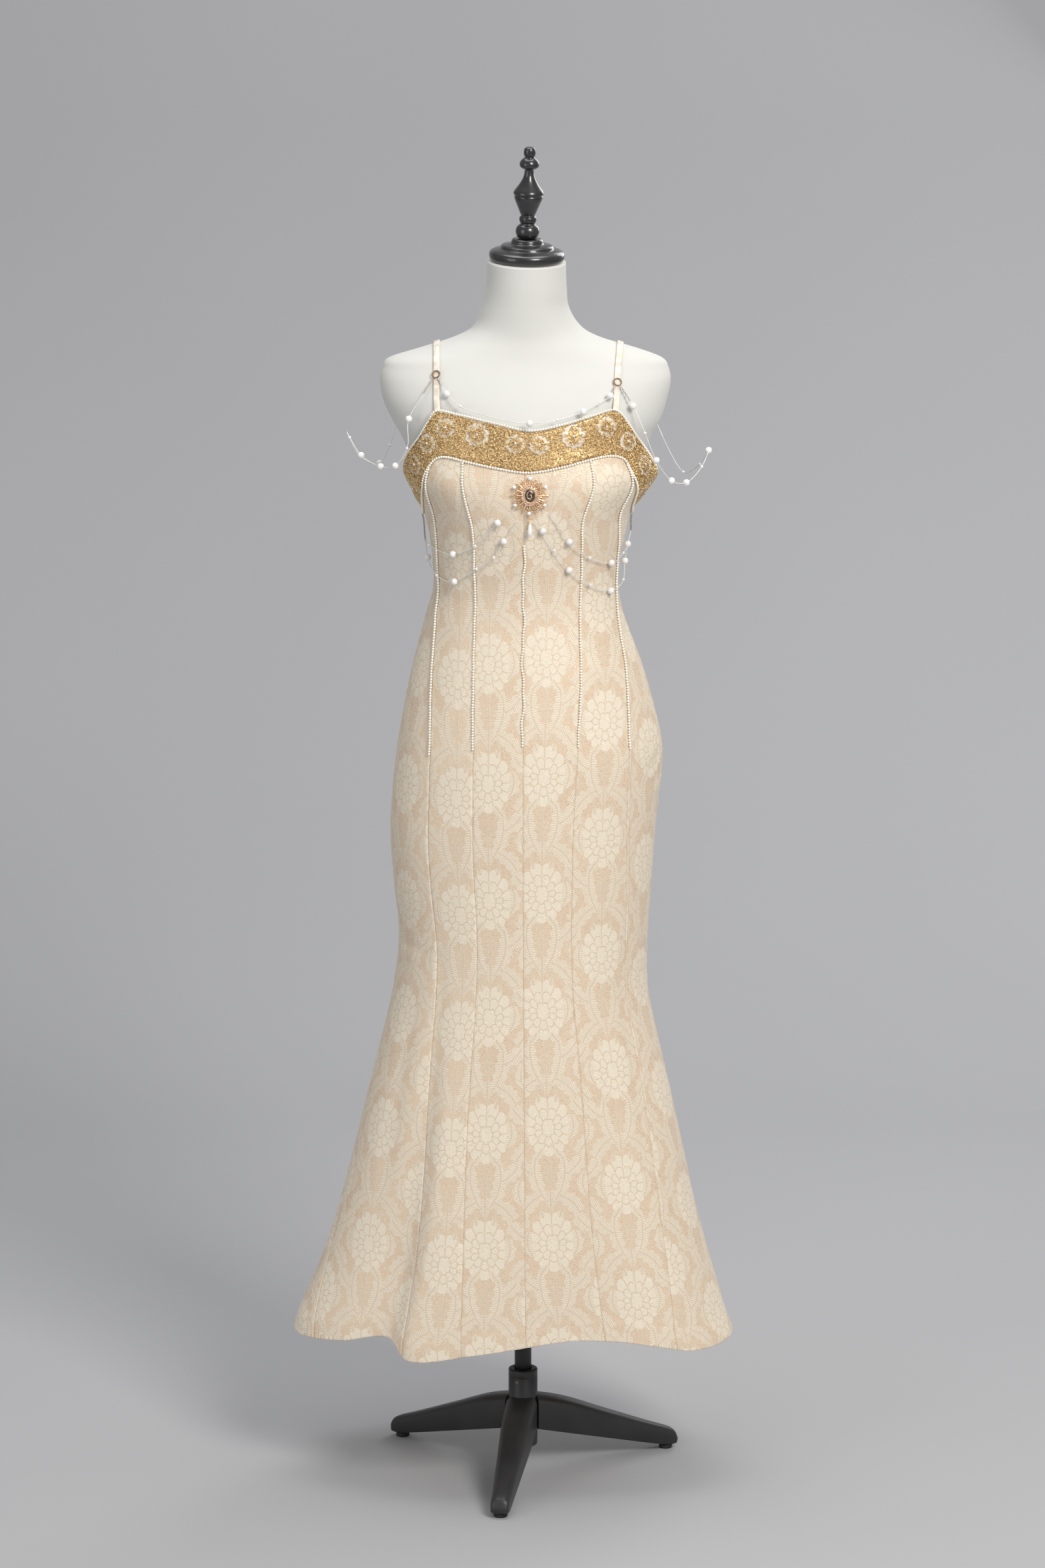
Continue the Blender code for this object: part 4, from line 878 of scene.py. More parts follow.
def swag_line(name):
    """The points of a swag in the row's frame, with its pearls and their sizes."""
    if name in WAIST_SWAGS:
        rows = WAIST_SWAGS[name]
        points = [cloth_point(turn, height, out) for turn, height, out, _ in rows]
        marks = [(points[i], row[3]) for i, row in enumerate(rows) if row[3]]
        return smooth_line(points, CORD_STATIONS), marks
    rows = FREE_SWAGS[name]
    reach = RING_RADIUS + RING_WIRE + SOLID_CORD / 2 + SEAM
    places = [np.array(row[:3]) + POLE for row in rows]
    side = "right" if name.endswith("right") else "left"
    start, end = RING_SEATS[side], STRAP_BACKS[side]
    start = start + (places[0] - start) / np.linalg.norm(places[0] - start) * reach
    if name == "swag_chest":
        end = RING_SEATS["right"]
        end = end + (places[-1] - end) / np.linalg.norm(places[-1] - end) * reach
    marks = [(places[i], row[3]) for i, row in enumerate(rows) if row[3]]
    return smooth_line([start, *places, end], CORD_STATIONS), marks


def cord_curve(name, points, width, finish):
    made = guide(name, points)
    made.data.bevel_depth = width / 2
    made.data.bevel_resolution = 3
    made.data.use_fill_caps = True
    made.data.materials.append(finish.material)
    return made


def strung_pearl(point, way, wide):
    """A pearl on a cord, turned so that its hole lies along the cord."""
    turn = Vector(way).to_track_quat("Z", "Y").to_matrix().to_4x4()
    body = ball(wide / 2, (0, 0, 0), 28, 16, (1.0, 1.0, 0.97))
    body.transform(turn)
    body.transform(Matrix.Translation(point))
    return body


swag_objects = []
for name in [*FREE_SWAGS, *WAIST_SWAGS]:
    line, marks = swag_line(name)
    cord = cord_curve(name + "_cord", line, CORD_WIDE, CLEAR_CORD)
    balls = []
    for point, size in marks:
        nearest = int(np.argmin(np.linalg.norm(line - point, axis=1)))
        way = line[min(nearest + 1, len(line) - 1)] - line[max(nearest - 1, 0)]
        wide = BEAD if size == 1 else SMALL_BEAD
        balls.append(strung_pearl(line[nearest], way, wide))
    pearls = piece(name + "_pearls", joined(name + "_pearls", balls), WHITE_PEARL)
    for thing, slot in ((cord, "clear_cord"), (pearls, "pearl")):
        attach(thing, "form")
    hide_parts(name)
    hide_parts(name)
    length = line_length(line)
    swag_objects += [cord, pearls]
    print(name, "is", round(length, 3), "m long with", len(marks), "pearls")

# %% [markdown]
# The brocade is a woven damask: an ogee of large leaves round a scalloped medallion, which
# repeats every 150 mm and steps down half a repeat in the next column. Folding the cloth's own
# map back on one cell makes the whole pattern from one medallion and a few leaves.

# %% Damask pattern
REPEAT = 150.0  # mm, both ways
# middle X and Y, direction, half length, half width, bend, lobes: all in mm and degrees
LEAVES = (
    (16.0, 6.0, 78.0, 30.0, 8.5, -7.0, 5.0),
    (27.0, -27.0, -46.0, 25.0, 9.5, 7.0, 5.0),
    (35.0, 26.0, 50.0, 22.0, 9.0, -6.0, 4.0),
    (44.0, -2.0, 96.0, 17.0, 7.0, 5.0, 3.0),
    (0.0, -20.0, 90.0, 12.0, 6.0, 0.0, 3.0),
    (12.0, 42.0, 120.0, 12.0, 5.5, 3.0, 2.0),
    (9.0, -44.0, 60.0, 10.0, 4.5, -2.0, 2.0),
    (57.0, 14.0, 70.0, 10.0, 4.0, 2.0, 2.0),
    (58.0, -18.0, 110.0, 11.0, 4.5, -2.0, 2.0),
)


def folded(finish, across, along):
    """One cell of the half-drop repeat, folded on its middle line."""
    half = REPEAT / 2
    x = finish.maths("ABSOLUTE", finish.maths("WRAP", across, half, -half))
    y = finish.maths("WRAP", along, half, -half)
    other = finish.maths("GREATER_THAN", x + finish.maths("ABSOLUTE", y), half)
    x = x + (half - x * 2.0) * other
    return x, finish.maths("WRAP", y - other * half, half, -half)


def leaf(finish, x, y, row):
    """How far a place is inside the leaf, and how far off its veins."""
    middle_x, middle_y, degrees, long, wide, bend, lobes = row
    c, s = math.cos(math.radians(degrees)), math.sin(math.radians(degrees))
    along = x * (c / long) + y * (s / long) - (middle_x * c + middle_y * s) / long
    squared = along * along
    across = y * c - x * s + squared * bend + (middle_x * s - middle_y * c - 0.3 * bend)
    off = finish.maths("ABSOLUTE", across)
    lobe = finish.maths("ABSOLUTE", finish.maths("SINE", along * (lobes * math.pi / 2) + 0.6))
    taper = finish.maths("POWER", finish.maths("MAXIMUM", 1.0 - squared, 0.0), 0.6)
    inside = taper * (lobe * (0.38 * wide) + 0.62 * wide) - off
    comb = finish.maths("PINGPONG", along * (lobes * 2.0) + off * 0.12, 0.5)
    vein = finish.maths("MINIMUM", off - 0.5, comb * (1.3 * long / lobes / 2.0) - 0.42)
    return inside, vein


def medallion(finish, x, y):
    """The scalloped flower in the middle of the cell, with its rays."""
    y = y + 3.0
    angle = finish.maths("ARCTAN2", x, y)
    reach = finish.maths("SQRT", x * x + y * y)
    cosine = y / finish.maths("MAXIMUM", reach, 0.01)
    up = finish.maths("MAXIMUM", cosine, 0.0)
    down = finish.maths("MINIMUM", cosine, 0.0)
    size = finish.maths("POWER", up, 2.2) * 13.5 + down * down * 8.0 + 27.5

    def scallops(count, deep):
        ray = finish.maths("ABSOLUTE", finish.maths("SINE", angle * count))
        return ray, (finish.maths("POWER", ray, 0.7) * deep + (1.0 - deep))

    ray_outer, edge = scallops(6.5, 0.16)
    outer = size * edge
    ray_inner, edge = scallops(5.5, 0.22)
    middle = size * edge * 0.66
    _, edge = scallops(3.5, 0.25)
    core = size * edge * 0.32
    outer_ray = ray_outer * reach * 0.15 - 0.45 + finish.maths("LESS_THAN", reach, size * 0.62) * 9.0
    inner_ray = ray_inner * reach * 0.18 - 0.4
    inner_ray = inner_ray + finish.maths("LESS_THAN", reach, core) * 9.0
    inner_ray = inner_ray + finish.maths("GREATER_THAN", reach, middle) * 9.0
    ring = finish.maths("ABSOLUTE", reach - middle) - 0.55
    eye = finish.maths("ABSOLUTE", reach - core) - 0.5
    vein = finish.maths("MINIMUM", outer_ray, inner_ray)
    vein = finish.maths("MINIMUM", vein, finish.maths("MINIMUM", ring, eye))
    return outer - reach, vein


def damask(finish, across, along):
    """The pattern at a place in mm: 0 on the ground, up to 1 on the ivory, less on its veins."""
    x, y = folded(finish, across, along)
    inside, vein = medallion(finish, x, y)
    x, y = folded(finish, across, along - REPEAT / 2)
    for row in LEAVES:
        more_inside, more_vein = leaf(finish, x, y, row)
        over = finish.maths("GREATER_THAN", more_inside, inside)
        vein = vein + (more_vein - vein) * over
        inside = finish.maths("MAXIMUM", inside, more_inside)
    return finish.step(inside, -2.0, -1.0), finish.step(vein, -0.35, 0.45)


print("one cell of the damask has a medallion and", len(LEAVES), "leaves")

# %% [markdown]
# Ivory threads float over a peach ground in which a metal thread glints. The motif stands a
# tenth of a millimetre proud, so a Bump node catches the light along its edges, and a fine
# twill lies under everything. The map is in metres, so the pattern has its real size.

# %% Brocade finish
IVORY, PEACH, FAWN, LINE = (0.86, 0.775, 0.63), (0.80, 0.65, 0.48), (0.68, 0.50, 0.35), (0.62, 0.46, 0.32)


def brocade_finish():
    made = Finish("brocade", Sheen_Weight=0.12, Sheen_Roughness=0.4)
    cloth = made.place("cloth")
    across, along, _ = made.parts(cloth)
    across, along = across * 1000.0, along * 1000.0
    motif, off_vein = damask(made, across, along)
    place = made.place()
    drift = made.noise(cloth, 38.0, 1.0)
    curls = made.noise(cloth, 120.0, 1.0) * 11.0 + drift * 6.0
    scroll = made.step(made.maths("PINGPONG", curls, 0.5), 0.0, 0.17)
    ivory = motif * (off_vein * 0.75 + 0.25) * (scroll * 0.55 + 0.45)
    cloud = made.noise(place, 14.0, 3.0)
    fleck = made.parts(made.cells(place, 1500.0))[0]
    glint = made.step(fleck, 0.86, 0.9) * (1.0 - ivory * 0.8)
    slub = made.noise(cloth, 700.0, 2.0)
    ground = made.mix(made.clip(cloud * 0.7 + slub * 0.4 - 0.05), FAWN, PEACH)
    ground = made.mix((1.0 - scroll) * 0.75, ground, IVORY)
    drawn_in = made.mix(motif, ground, LINE)
    shade = made.mix(made.clip(ivory * 1.0 + slub * 0.1 - 0.04), drawn_in, IVORY)
    made.feed("Base Color", made.mix(glint * 0.55, shade, (0.95, 0.80, 0.60)))
    made.feed("Metallic", glint * 0.6)
    made.feed("Roughness", 0.5 + ivory * 0.08 - glint * 0.25)
    twill = made.maths("SINE", (across + along) * (2 * math.pi / 0.9))
    threads = made.maths("SINE", across * (2 * math.pi / 0.45))
    made.relief(ivory * 1.0 + twill * 0.12 + threads * 0.08 + slub * 0.25, 0.00014)
    return made


BROCADE = brocade_finish()
print("the brocade has", len(BROCADE.tree.nodes), "nodes")

# %% [markdown]
# Cloth on a body is never quite smooth. These soft troughs and low ridges were placed one by
# one: short drags at the hips and the waist, a crease over the knee at one side, and long
# troughs beside the seams where the skirt starts to flare. No two are the same.

# %% Troughs and ridges of the cloth
METRES_A_DEGREE = 0.0028
# turn and height of both ends, half width in metres, depth in metres (below 0 it is a ridge)
CLOTH_FOLDS = (
    (84.0, 0.968, 62.0, 0.936, 0.0060, 0.0016), (88.0, 0.944, 66.0, 0.915, 0.0050, 0.0013),
    (86.0, 0.925, 70.0, 0.905, 0.0042, -0.0010), (88.0, 0.986, 74.0, 0.972, 0.0042, 0.0010),
    (87.0, 0.902, 74.0, 0.893, 0.0050, 0.0009),
    (-88.0, 0.716, -50.0, 0.709, 0.0042, 0.0014), (-86.0, 0.703, -58.0, 0.697, 0.0048, -0.0010),
    (-88.0, 0.742, -68.0, 0.736, 0.0060, 0.0008), (88.0, 0.706, 66.0, 0.699, 0.0060, 0.0011),
    (86.0, 0.672, 72.0, 0.668, 0.0050, 0.0008),
    (-86.0, 1.186, -64.0, 1.180, 0.0040, 0.0009), (-88.0, 1.158, -70.0, 1.152, 0.0045, 0.0011),
    (-84.0, 1.132, -72.0, 1.122, 0.0052, 0.0008), (86.0, 1.178, 66.0, 1.170, 0.0042, 0.0009),
    (88.0, 1.146, 72.0, 1.140, 0.0048, 0.0010), (84.0, 1.118, 70.0, 1.106, 0.0050, 0.0009),
    (-40.0, 0.700, -38.0, 0.430, 0.0120, 0.0022), (-30.0, 0.560, -26.0, 0.300, 0.0130, -0.0016),
    (-56.0, 0.640, -52.0, 0.330, 0.0150, 0.0020), (34.0, 0.620, 38.0, 0.320, 0.0120, 0.0018),
    (54.0, 0.700, 50.0, 0.400, 0.0130, 0.0022), (8.0, 0.520, 10.0, 0.280, 0.0110, 0.0012),
    (-6.0, 0.600, -8.0, 0.330, 0.0110, -0.0010), (68.0, 0.560, 66.0, 0.300, 0.0140, -0.0016),
    (-20.0, 0.870, -12.0, 0.862, 0.0060, 0.0006), (18.0, 0.842, 30.0, 0.850, 0.0070, 0.0006),
    (112.0, 0.880, 138.0, 0.866, 0.0060, 0.0012), (118.0, 0.846, 146.0, 0.838, 0.0070, 0.0010),
    (-116.0, 0.884, -142.0, 0.872, 0.0060, 0.0012), (-122.0, 0.850, -150.0, 0.842, 0.0065, 0.0011),
    (150.0, 0.824, 172.0, 0.818, 0.0070, 0.0010), (-156.0, 0.828, -172.0, 0.820, 0.0060, 0.0009),
    (104.0, 1.164, 128.0, 1.156, 0.0045, 0.0010), (-106.0, 1.168, -130.0, 1.160, 0.0045, 0.0010),
    (160.0, 1.136, 176.0, 1.130, 0.0050, 0.0009), (-158.0, 1.140, -174.0, 1.134, 0.0050, 0.0009),
    (132.0, 0.660, 128.0, 0.360, 0.0150, 0.0020), (166.0, 0.620, 164.0, 0.330, 0.0150, 0.0016),
    (-134.0, 0.660, -130.0, 0.370, 0.0150, 0.0020), (-164.0, 0.600, -160.0, 0.320, 0.0140, 0.0018),
    (108.0, 0.600, 106.0, 0.330, 0.0130, -0.0015), (-106.0, 0.610, -104.0, 0.340, 0.0130, -0.0015),
)


def fold_depth(turn, height):
    """How deep the troughs are at these places."""
    depth = np.zeros(np.shape(turn))
    turn = wrapped(turn)
    for turn_a, height_a, turn_b, height_b, half, deep in CLOTH_FOLDS:
        px = wrapped(turn - turn_a) * METRES_A_DEGREE
        py = height - height_a
        dx, dy = (turn_b - turn_a) * METRES_A_DEGREE, height_b - height_a
        share = np.clip((px * dx + py * dy) / (dx * dx + dy * dy), 0.0, 1.0)
        away = np.hypot(px - share * dx, py - share * dy)
        strength = 0.25 + 0.75 * np.sin(math.pi * (0.08 + 0.84 * share)) ** 1.5
        depth += deep * strength * np.exp(-((away / half) ** 2))
    return depth


print(len(CLOTH_FOLDS), "troughs and ridges")

# %% [markdown]
# Each gore is cut on its own and sewn to its neighbours, so each is its own wall. Its columns
# crowd at the two seams, where the cloth turns in, and its rows crowd at the hem, where it is
# turned up and twice as thick.

# %% Grid of a gore
GORES = (
    "gore_side_left", "gore_front_left_outer", "gore_front_left", "gore_front_right",
    "gore_front_right_outer", "gore_side_right", "gore_back_right_outer", "gore_back_right",
    "gore_back_left", "gore_back_left_outer",
)
SEWN_GAP = 0.00006
SHEET = 0.0011
SEAM_STEPS = np.array((0.0, 0.0004, 0.0009, 0.0016, 0.0026, 0.0042))
HEM_STEPS = (0.0, 0.0003, 0.0007, 0.0013, 0.0024, 0.005, 0.010, 0.016, 0.022, 0.026, 0.0285, 0.032)
BODY_ROWS = 200
TURN_UP = 0.027


def metres_a_degree(turn, height):
    return np.linalg.norm(bare_cloth(turn + 0.5, height) - bare_cloth(turn - 0.5, height), axis=-1)


def gore_turns(number, height):
    """Turn of every column, for heights whose last axis is the columns; and metres to a seam."""
    seams = seam_turns(height)
    left, right = seams[number], seams[number + 1]
    columns = height.shape[-1]
    column = np.broadcast_to(np.arange(columns), height.shape)
    edge = len(SEAM_STEPS) - 1
    near = SEAM_STEPS + SEWN_GAP / 2
    left_step, right_step = metres_a_degree(left, height), metres_a_degree(right, height)
    inner_left = left + near[-1] / left_step
    inner_right = right - near[-1] / right_step
    share = (column - edge) / (columns - 1 - 2 * edge)
    turn = inner_left + (inner_right - inner_left) * share
    from_left = near[np.clip(column, 0, edge)]
    from_right = near[np.clip(columns - 1 - column, 0, edge)]
    turn = np.where(column <= edge, left + from_left / left_step, turn)
    turn = np.where(column >= columns - 1 - edge, right - from_right / right_step, turn)
    to_seam = np.minimum((turn - left) * left_step, (right - turn) * right_step)
    return turn, to_seam


def gore_grid(number, columns):
    """Turns, heights, metres to the seam and metres to the hem, over the whole gore."""
    top, foot = np.full(columns, 1.30), np.full(columns, HEM)
    for _ in range(40):
        top = (top + band_low(gore_turns(number, top)[0]) - SEAM) / 2
        foot = (foot + hem_height(gore_turns(number, foot)[0])) / 2
    steps = np.array(HEM_STEPS)
    body = np.linspace(1.0, 0.0, BODY_ROWS, endpoint=False)[:, None]
    start = foot + 0.036
    heights = np.concatenate([start + (top - start) * body, foot + steps[::-1, None]])
    turn, to_seam = gore_turns(number, heights)
    return turn, heights, to_seam, heights - foot


def gore_relief(turn, height, to_seam, to_hem):
    """How far the outer face stands off the plain cloth."""
    groove = -0.0012 * np.exp(-to_seam / 0.0010)
    ripple = np.sin(height * 392.0 + np.sin(height * 61.0) * 2.0) + 0.6 * np.sin(height * 247.0 + 1.3)
    pucker = 0.00022 * ripple * np.exp(-((to_seam / 0.007) ** 2)) * ease(to_seam / 0.001)
    doubled = 0.0003 * (1.0 - ease((to_hem - TURN_UP + 0.001) / 0.002))
    rounded = -0.0007 * (1.0 - np.clip(to_hem / 0.0013, 0, 1)) ** 2
    tacks = -0.00015 * np.exp(-(((to_hem - TURN_UP) / 0.0012) ** 2))
    return groove + pucker + doubled + rounded + tacks - fold_depth(turn, height)


print("a gore is seen to within", SEAM_STEPS[1] * 1000, "mm at its seams")

# %% [markdown]
# The pattern's map is in metres across and along the gore, measured on the cloth. A medallion
# sits where it was measured on five gores, and anywhere on the others, because a dressmaker
# lays each gore where the cloth is best used.

# %% Cut, place and dress the gores
# height of a medallion, and how far it is right of the gore's middle
MEDALLIONS = {
    "gore_side_left": (0.328, 0.0), "gore_front_left_outer": (0.912, 0.010),
    "gore_front_left": (0.783, -0.012), "gore_front_right": (0.792, -0.008),
    "gore_front_right_outer": (0.859, 0.0), "gore_side_right": (0.520, 0.006),
    "gore_back_right_outer": (0.870, 0.0), "gore_back_right": (0.800, -0.006),
    "gore_back_left": (0.800, 0.006), "gore_back_left_outer": (0.850, 0.004),
}


def gore_chart(points, turn, heights, name):
    """The pattern's map: metres right of the gore's middle, and metres up from a medallion."""
    steps = np.linalg.norm(np.diff(points, axis=1), axis=-1)
    across = np.concatenate([np.zeros((len(points), 1)), np.cumsum(steps, axis=1)], 1)
    across -= across[:, -1:] / 2
    middle = points.shape[1] // 2
    down = np.linalg.norm(np.diff(points[:, middle], axis=0), axis=-1)
    along = -np.concatenate([[0.0], np.cumsum(down)])
    medallion_height, shift = MEDALLIONS[name]
    level = np.interp(-medallion_height, -heights[:, middle], along)
    # the chart runs level with the height, so that the pattern meets the seams as cut cloth does
    along = np.interp(-heights, -heights[:, middle], along) - level
    return np.stack([across - shift, along], -1)


CUTS = {}
for number, name in enumerate(GORES):
    columns = 48 if "side" in name else 38
    turn, heights, to_seam, to_hem = gore_grid(number, columns)
    out = gore_relief(turn, heights, to_seam, to_hem)
    outer = cloth_point(turn, heights, out)
    thick = SHEET + 0.0004 * (1.0 - ease((to_hem - TURN_UP + 0.001) / 0.002))
    inner = cloth_point(turn, heights, out - thick)
    chart = gore_chart(outer, turn, heights, name)
    gore = piece(name + "_cloth", wall_mesh(name + "_cloth", outer, inner, chart), BROCADE)
    sides = np.cross(outer[1:, :-1] - outer[:-1, :-1], outer[:-1, 1:] - outer[:-1, :-1])
    area = float(np.linalg.norm(sides, axis=-1).sum())
    wide = float((chart[..., 0].max(axis=1) - chart[..., 0].min(axis=1)).max())
    long = float(np.linalg.norm(np.diff(outer, axis=0), axis=-1).sum(axis=0).max())
    CUTS[name] = (wide, long, area)
    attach(gore, "form")
    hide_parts(name)
    print(name, "cut", round(wide * 1000), "x", round(long * 1000), "mm,", round(area, 4), "m2")

# %% [markdown]
# The form under the dress is a smooth body covered in pale jersey. It is one closed loft, and
# its shoulders and neck show.

# %% Dress form
CAP_TILT = (0.115, 0.028, 0.0)
NECK_MIDDLE = (0.0045, 0.002)
FORM_COLUMNS, FORM_ROWS = 112, 170

JERSEY = Finish("jersey", Sheen_Weight=0.1, Sheen_Roughness=0.5)
jersey_place = JERSEY.place()
knit_x, knit_y, knit_z = JERSEY.parts(jersey_place)
knit = JERSEY.maths("SINE", knit_z * (2 * math.pi / 0.0011)) * JERSEY.maths("SINE", knit_x * (2 * math.pi / 0.0013))
shading = JERSEY.noise(jersey_place, 9.0, 3.0)
JERSEY.feed("Base Color", JERSEY.mix(JERSEY.clip(shading + knit * 0.04), (0.62, 0.62, 0.59), (0.69, 0.69, 0.655)))
JERSEY.feed("Roughness", 0.68 + shading * 0.12)
JERSEY.relief(knit * 0.5 + JERSEY.noise(jersey_place, 1800.0) * 0.4, 0.00008)


def form_point(turn, height):
    left, right, front, back, middle = form_row(height)
    x, y = section_point(left, right, front, back, turn)
    rise = cup_rise(turn, height)
    angle = np.radians(turn)
    x, y = x + rise * np.sin(angle), middle + y - rise * np.cos(angle)
    lean = ease((height - NECK_FOOT) / (NECK_TOP - NECK_FOOT))
    ahead, across = y - NECK_MIDDLE[1], x - NECK_MIDDLE[0]
    z = height + lean * (math.tan(CAP_TILT[0]) * ahead - math.tan(CAP_TILT[1]) * across)
    return np.stack([x, y, z], -1) + POLE


def form_mesh():
    heights = np.concatenate([np.linspace(FORM_FOOT, 1.40, 90), np.linspace(1.405, NECK_TOP, 80)])
    turn, height = np.meshgrid(np.arange(FORM_COLUMNS) * 360.0 / FORM_COLUMNS, heights)
    rings = list(form_point(turn, height))
    centre = rings[0].mean(axis=0)
    foot = [centre + (ring - centre) * (0.996, 0.996, 1.0) - (0, 0, 0) for ring in rings[:1]]
    return lofted("form_body", [foot[0], *rings[1:]])


form = piece("form_body", form_mesh(), JERSEY)
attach(form, "form")
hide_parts("dress_form")
print("form has", len(form.data.polygons), "faces")

# %% [markdown]
# The straps are narrow ribbons of satin, sewn as a tube and pressed flat. A ribbon has rounded
# edges and a soft crown, and its finish is mottled across its length where it was pressed.

# %% Straps
SATIN = Finish("satin", Sheen_Weight=0.1, Coat_Roughness=0.25)
satin_place = SATIN.place()
mottle = SATIN.noise(satin_place, 120.0, 4.0, 0.6)
thread = SATIN.noise(satin_place, 2200.0, 2.0)
SATIN.feed("Base Color", SATIN.mix(SATIN.step(mottle, 0.35, 0.62), (0.70, 0.61, 0.50), (0.86, 0.80, 0.70)))
SATIN.feed("Roughness", 0.3 + mottle * 0.22)
SATIN.relief(thread * 0.5 + mottle * 0.5, 0.00008)

RIBBON = ((-0.5, 0.0), (-0.47, 0.34), (-0.36, 0.46), (0.0, 0.52), (0.36, 0.46), (0.47, 0.34),
          (0.5, 0.0), (0.47, -0.34), (0.36, -0.44), (0.0, -0.44), (-0.36, -0.44), (-0.47, -0.34))


def ribbon(places, faces, stations):
    path = smooth_line(places, stations)
    along = np.concatenate([[0.0], np.cumsum(np.linalg.norm(np.diff(places, axis=0), axis=1))])
    goal = np.linspace(0.0, along[-1], stations)
    face = np.stack([np.interp(goal, along, faces[:, k]) for k in range(3)], -1)
    ahead = np.gradient(path, axis=0)
    wide = np.cross(ahead, face)
    wide /= np.linalg.norm(wide, axis=1, keepdims=True)
    thick = np.cross(wide, ahead)
    thick /= np.linalg.norm(thick, axis=1, keepdims=True)
    rings = []
    for point, w, t in zip(path, wide, thick):
        rings.append([point + w * x * STRAP_WIDE + t * y * STRAP_THICK for x, y in RIBBON])
    return rings, line_length(path)


for side, (places, faces) in STRAP_PATHS.items():
    rings, length = ribbon(places, faces, 150)
    strap = piece(f"strap_{side}_ribbon", lofted(f"strap_{side}_ribbon", rings), SATIN)
    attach(strap, "form")
    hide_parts(f"strap_{side}")
    print(side, "strap", round(length * 1000), "mm")

# %% [markdown]
# The neckline band is a strip of net that is covered in gold bugle beads and seed beads, with
# embroidered fans of cream thread between them. The strip is a fine wall. The fans are raised
# in its outer face, and the same sum that raises them keeps the beads off them.

# %% Fans of the band
# turn, share of the band's depth, width in metres, way up: 1 opens upwards, -1 downwards
FANS = (
    (-170.0, 0.42, 0.030, 1), (-148.0, 0.42, 0.030, 1), (-126.0, 0.42, 0.030, 1),
    (-106.0, 0.42, 0.028, 1), (-89.0, 0.45, 0.025, 1), (-75.0, 0.46, 0.024, 1),
    (-61.5, 0.50, 0.024, -1), (-48.5, 0.54, 0.023, -1), (-35.0, 0.56, 0.024, -1),
    (-20.5, 0.54, 0.029, -1), (-3.4, 0.56, 0.023, -1), (6.6, 0.56, 0.023, -1),
    (21.0, 0.54, 0.029, -1), (35.5, 0.56, 0.024, -1), (49.0, 0.54, 0.023, -1),
    (62.0, 0.50, 0.024, -1), (75.5, 0.46, 0.024, 1), (89.5, 0.45, 0.025, 1),
    (106.5, 0.42, 0.028, 1), (128.0, 0.42, 0.030, 1), (150.0, 0.42, 0.030, 1),
    (171.0, 0.42, 0.030, 1),
)
PETALS = 7
FAN_PROUD = 0.0010
FAN_SPREAD = math.radians(118.0)  # half the angle that a fan opens to


def fan_place(turn, share):
    """A fan's middle on the cloth, and its axes."""
    low, top = float(band_low(turn)), float(band_top(turn))
    height = low + (top - low) * share
    out = outward(turn, height)
    right = np.cross((0.0, 0.0, 1.0), out)
    right = -right / np.linalg.norm(right)
    right = right if right.dot(bare_cloth(turn + 1.0, height) - bare_cloth(turn, height)) > 0 else -right
    up = np.cross(out, right)
    up = up if up[2] > 0 else -up
    return bare_cloth(turn, height), right, up, out


def fan_edge(angle, size):
    """How far the scalloped edge is from the fan's root, at an angle from its middle petal."""
    wave = np.abs(np.cos(angle * PETALS * math.pi / (2.0 * FAN_SPREAD)))
    return size * (0.80 + 0.20 * wave**0.7)


def fan_shape(points):
    """For points on the cloth: how high a fan stands, and how much white thread shows, 0 to 1."""
    rise, white = np.zeros(points.shape[:-1]), np.zeros(points.shape[:-1])
    for turn, share, wide, way in FANS:
        middle, right, up, _ = fan_place(turn, share)
        away = points - middle
        near = np.linalg.norm(away, axis=-1) < wide  # the far side of the body is left out
        x, y = away @ right, (away @ up) * way
        size = wide * 0.54
        y = y + size * 0.42
        reach, angle = np.hypot(x, y), np.arctan2(x, y)
        edge = fan_edge(angle, size)
        inside = (edge - reach) / size
        ray = np.abs(np.cos(angle * PETALS * math.pi / (2.0 * FAN_SPREAD)))
        dome = ease((inside + 0.02) * 6.0) * (0.62 + 0.38 * ray**0.5)
        dome = dome * np.where(np.abs(angle) < FAN_SPREAD, 1.0, ease((inside + 0.02) * 3.0) * 0.6)
        rise = np.maximum(rise, np.where((inside > -0.02) & near, dome, 0.0))
        border = np.exp(-(((inside - 0.12) / 0.10) ** 2)) * ease(1.0 - (y - 0.30 * size) / size)
        floss = 0.55 * ease((ray - 0.62) * 5.0) * ease((reach / size - 0.34) * 6.0) * (inside > 0)
        white = np.maximum(white, np.maximum(border, floss) * near)
    return rise, white


print(len(FANS), "fans of", PETALS, "petals")

# %% [markdown]
# The strip carries a number for every point: how much of a fan it is. Its finish reads that
# number, so thread shows on the fans, and beaded net between them.

# %% Band of net and thread
BAND_COLUMNS, BAND_DEEP = 620, 34

BEADED_NET = Finish("beaded_net")
net_place = BEADED_NET.place()
petal = BEADED_NET.attribute("fan")
bead_shade = BEADED_NET.parts(BEADED_NET.cells(net_place, 900.0))[0]
floss = BEADED_NET.noise(net_place, 1500.0, 2.0)
gold_ground = BEADED_NET.mix(bead_shade, (0.42, 0.26, 0.11), (0.83, 0.61, 0.33))
thread_shade = BEADED_NET.mix(floss, (0.70, 0.60, 0.46), (0.92, 0.88, 0.80))
on_fan = BEADED_NET.step(petal, 0.1, 0.8)
BEADED_NET.feed("Base Color", BEADED_NET.mix(on_fan, gold_ground, thread_shade))
BEADED_NET.feed("Metallic", (1.0 - on_fan) * 0.7)
BEADED_NET.feed("Roughness", 0.34 + on_fan * 0.25)
BEADED_NET.relief(floss * 0.5 + bead_shade * 0.5, 0.00025)

